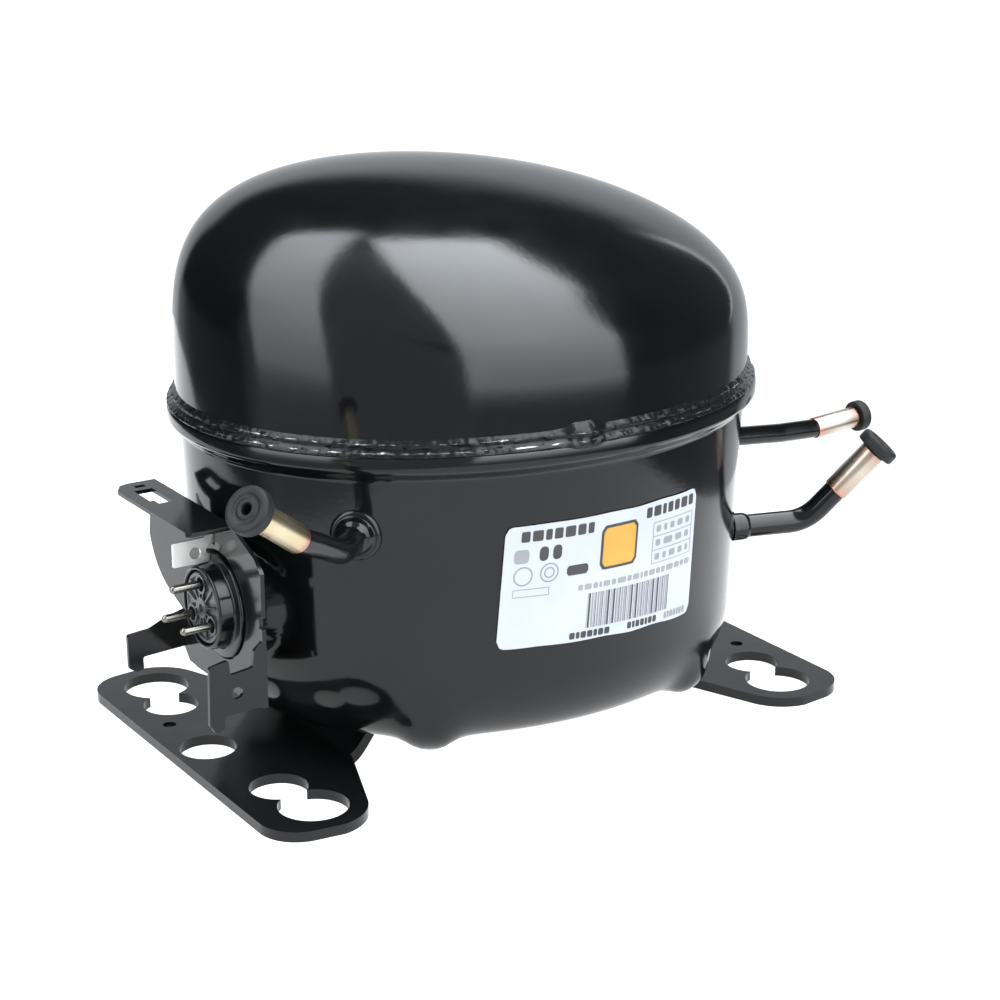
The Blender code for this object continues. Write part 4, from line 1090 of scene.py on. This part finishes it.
def make_print():
    """Generic marks on the label: blocks, bars and frames, and no wording."""
    black, grey, amber = 0, 1, 2
    bm = bmesh.new()
    # the two headings and the fine line are rows of plain blocks
    row_of_blocks(bm, 0.07, 0.40, 0.045, 0.13, (4, 5, 3, 4, 5, 4, 3), 0.011, black)
    row_of_blocks(bm, 0.675, 0.975, 0.035, 0.115, (3, 4, 2, 3, 3, 4, 3), 0.012, black)
    row_of_blocks(bm, 0.345, 0.975, 0.535, 0.580, (2, 3, 2, 1, 3, 2, 4, 2, 3, 1, 2, 3, 2, 2, 4, 3, 2, 3),
                  0.009, grey)
    for left, right, shade in ((0.32, 0.515, black), (0.61, 0.775, black), (0.825, 0.965, grey)):
        row_of_blocks(bm, left, right, 0.917, 0.970, (3, 2, 3, 3, 2, 3, 3), 0.006, shade)
    # an amber block with a dark border, and at the left a block, two bars and a lozenge
    marks = ((0.440, 0.095, 0.630, 0.445, black, 0.024), (0.045, 0.19, 0.110, 0.30, grey, 0.016),
             (0.155, 0.18, 0.195, 0.295, black, 0.018), (0.215, 0.18, 0.255, 0.295, black, 0.018),
             (0.285, 0.365, 0.385, 0.445, black, 0.012))
    for left, top, right, bottom, shade, radius in marks:
        strip(bm, left, top, right, bottom, mat_index=shade, radius=radius)
    strip(bm, 0.452, 0.117, 0.618, 0.423, PRINT_PROUD + PRINT_THICK, amber, 0.018)
    for across, down, radius in ((0.090, 0.405, 0.042), (0.205, 0.395, 0.042), (0.205, 0.395, 0.024)):
        circle_mark(bm, across, down, radius, 0.006, grey)
    frame_mark(bm, 0.05, 0.51, 0.21, 0.575, 0.003, grey)
    # ruled table with rows of blocks
    frame_mark(bm, 0.72, 0.165, 0.975, 0.495, 0.003, grey)
    for row, groups in enumerate(((3, 2, 3, 4, 3), (2, 4, 3, 2), (3, 2, 4, 3, 2))):
        y = 0.165 + row * 0.110
        if row:
            strip(bm, 0.72, y, 0.975, y + 0.006, mat_index=grey)
        row_of_blocks(bm, 0.74, 0.955, y + 0.032, y + 0.082, groups, 0.022, grey)
    # a field of bars
    x, k = 0.395, 0
    while x < 0.84:
        wide = 0.0028 + 0.0026 * ((k * 7 + k * k * 3) % 4)
        strip(bm, x, 0.615, x + wide, 0.895, mat_index=black if k % 3 == 1 else grey)
        x += wide + 0.0030 + 0.0018 * ((k * 5) % 3)
        k += 1
    print_marks = finish("plain_print", bm, [PRINT_BLACK, PRINT_GREY, PRINT_AMBER], 40)
    hand_over(print_marks, "label_film")


# ---------------------------------------------------------------- studio
def stage_mesh(name, bm, mat):
    """Something of the studio, which is no part of the object."""
    mesh = bpy.data.meshes.new(name)
    bm.to_mesh(mesh)
    bm.free()
    mesh.materials.append(mat)
    return place_object(name, mesh)


def make_floor():
    """A plain pale table, smaller than the studio so that the enamel mirrors its edge."""
    made, tree, shader = shader_of("pale_floor", (0.8, 0.8, 0.8), 0.9)
    pale = tint(tree, noise_map(tree, 3, 2), ((0.3, (0.29, 0.29, 0.29)), (0.7, (0.31, 0.31, 0.31))))
    feed(tree, shader, {"Specular IOR Level": 0.0, "Emission Color": (1, 1, 1, 1), "Emission Strength": 1.0,
                        "Base Color": pale})
    bm = bmesh.new()
    bmesh.ops.create_circle(bm, cap_ends=True, segments=96, radius=1.0)
    for vert in bm.verts:
        vert.co = Vector((vert.co.x * TABLE_HALF[0], vert.co.y * TABLE_HALF[1], 0.0)) + Vector(TABLE_SHIFT)
    stage_mesh("studio_floor", bm, made)


def step_up(tree, value, edge, soft):
    """0 below the edge, 1 above it, with a soft change."""
    return spread(tree, calc(tree, "SUBTRACT", value, edge), -soft, soft, kind="SMOOTHSTEP")


def beyond(tree, unit, towards, edge, soft):
    """1 on the far side of a straight edge, which is a plane across the direction towards."""
    return step_up(tree, dot(tree, unit, towards), edge, soft)


def opposite(tree, value):
    return calc(tree, "SUBTRACT", 1.0, value)


def linear(tree, value, times, plus):
    return calc(tree, "MULTIPLY_ADD", value, times, plus)


def both(tree, *values):
    result = values[0]
    for value in values[1:]:
        result = calc(tree, "MULTIPLY", result, value)
    return result


def panel(tree, unit, near_edge, *far_edges):
    """1 inside a soft panel, which lies beyond its near edge and short of its far edges."""
    far = [opposite(tree, beyond(tree, unit, *edge)) for edge in far_edges]
    return both(tree, beyond(tree, unit, *near_edge), *far)


def tent_strength(tree, unit):
    """How bright the tent is in each direction; the panels' edges are (towards, place, softness)."""
    up = add(tree, "SeparateXYZ", "Z", {"Vector": unit})
    height = calc(tree, "MULTIPLY", calc(tree, "ARCSINE", up), degrees(1))
    foot = step_up(tree, height, -9, 7)
    # the two large panels
    right = panel(tree, unit, ((0.94, -0.338, -0.039), 0.152, 0.02), ((1, 0, 0), 0.650, 0.02),
                  ((1, 0, 0.24), 0.797, 0.02), ((1, 0.217, 0), 0.664, 0.012), ((0, 1, 0), 0.492, 0.02))
    left = panel(tree, unit, ((-0.598, 0.802, -0.011), 0.197, 0.02), ((-0.231, 0.968, -0.096), 0.452, 0.03),
                 ((0.2, 1, 0), 0.605, 0.02))
    lit = calc(tree, "ADD", both(tree, right, foot, linear(tree, up, 4.3, 4.4)),
               both(tree, left, foot, linear(tree, up, 4.0, 3.0)))
    # the dim grey between them
    front = beyond(tree, unit, (-0.839, -0.545, 0), 0.60, 0.12)
    top = panel(tree, unit, ((0, 0, 1), 0.64, 0.12), ((0, 1, 0), 0.44, 0.05), ((1, 0, 0), 0.45, 0.10))
    beside = calc(tree, "ADD", beyond(tree, unit, (1, 0, 0), 0.60, 0.10),
                  beyond(tree, unit, (-1, 0.3, 0), 0.55, 0.15))
    low = both(tree, opposite(tree, step_up(tree, height, -2, 3)), linear(tree, beside, -0.75, 1.0))
    behind = ((0.616, 0.788, 0), 0.72, 0.05)
    slope = (0.444, -0.511, 0.736)
    backdrop = both(tree, panel(tree, unit, behind, (slope, 0.392, 0.01)),
                    opposite(tree, step_up(tree, height, 26, 4)))
    rim = both(tree, panel(tree, unit, behind, (slope, 0.398, 0.006)),
               beyond(tree, unit, slope, 0.378, 0.006), opposite(tree, step_up(tree, height, 27, 3)))
    dim = 0.0
    for mask, strength in ((front, 0.70), (top, 0.66), (low, 0.36), (backdrop, 0.8), (rim, 3.6)):
        dim = calc(tree, "MAXIMUM", dim, calc(tree, "MULTIPLY", mask, strength))
    far_side = linear(tree, beyond(tree, unit, (1, 0, 0), 0.80, 0.15), 0.08, 0.03)
    return calc(tree, "ADD", calc(tree, "ADD", dim, far_side), lit)


def make_studio():
    """A tent round the object: two large soft panels that meet overhead, dim grey between them."""
    made = bpy.data.materials.new("studio_tent")
    made.use_nodes = True
    tree = made.node_tree
    tree.nodes.clear()
    unit = add(tree, "VectorMath", "Vector", {0: object_space(tree)}, operation="NORMALIZE")
    glow = {"Color": (0.945, 1.0, 1.05, 1), "Strength": tent_strength(tree, unit)}
    add(tree, "OutputMaterial", None, {"Surface": add(tree, "Emission", "Emission", glow)})

    bm = bmesh.new()
    bmesh.ops.create_uvsphere(bm, u_segments=96, v_segments=48, radius=TENT_R)
    tent = stage_mesh("studio_tent", bm, made)
    tent.location = (0, 0, TENT_Z)
    tent.visible_camera = False

    world_data = bpy.data.worlds.new("studio")
    bpy.context.scene.world = world_data
    world_data.use_nodes = True
    background = world_data.node_tree.nodes["Background"]
    background.inputs["Color"].default_value = (1, 1, 1, 1)
    background.inputs["Strength"].default_value = 1.1


def make_camera():
    azimuth, elevation = radians(VIEW_AZIMUTH), radians(VIEW_ELEVATION)
    away = Vector((sin(azimuth) * cos(elevation), -cos(azimuth) * cos(elevation), sin(elevation)))
    data = bpy.data.cameras.new("view")
    data.sensor_width = VIEW_SENSOR
    data.lens = VIEW_LENS
    data.clip_start, data.clip_end = 0.02, 60
    camera = place_object("view", data)
    camera.location = world(VIEW_TARGET) + away * VIEW_DISTANCE
    camera.rotation_euler = (-away).to_track_quat("-Z", "Y").to_euler()
    bpy.context.scene.camera = camera


def main():
    paint_inner_nodes()
    make_springs()
    make_upper_shell()
    make_lower_shell()
    make_weld_bead()
    make_foot("left_foot", -1, "base_plate_left")
    make_foot("right_foot", 1, "base_plate_right")
    make_bracket()
    make_earth_blade()
    make_cup()
    make_insulator()
    make_pins()
    make_tube_set("discharge", DISCHARGE_PATH, DISCHARGE_R, 12, 3.9)
    make_tube_set("suction", SUCTION_PATH, SUCTION_R, 24, 0.7)
    make_tube_set("process", PROCESS_PATH, PROCESS_R, 30, 1.1)
    make_label()
    make_print()
    make_floor()
    make_studio()
    make_camera()
    bpy.context.scene.view_settings.view_transform = "Standard"


main()
bpy.context.view_layer.update()
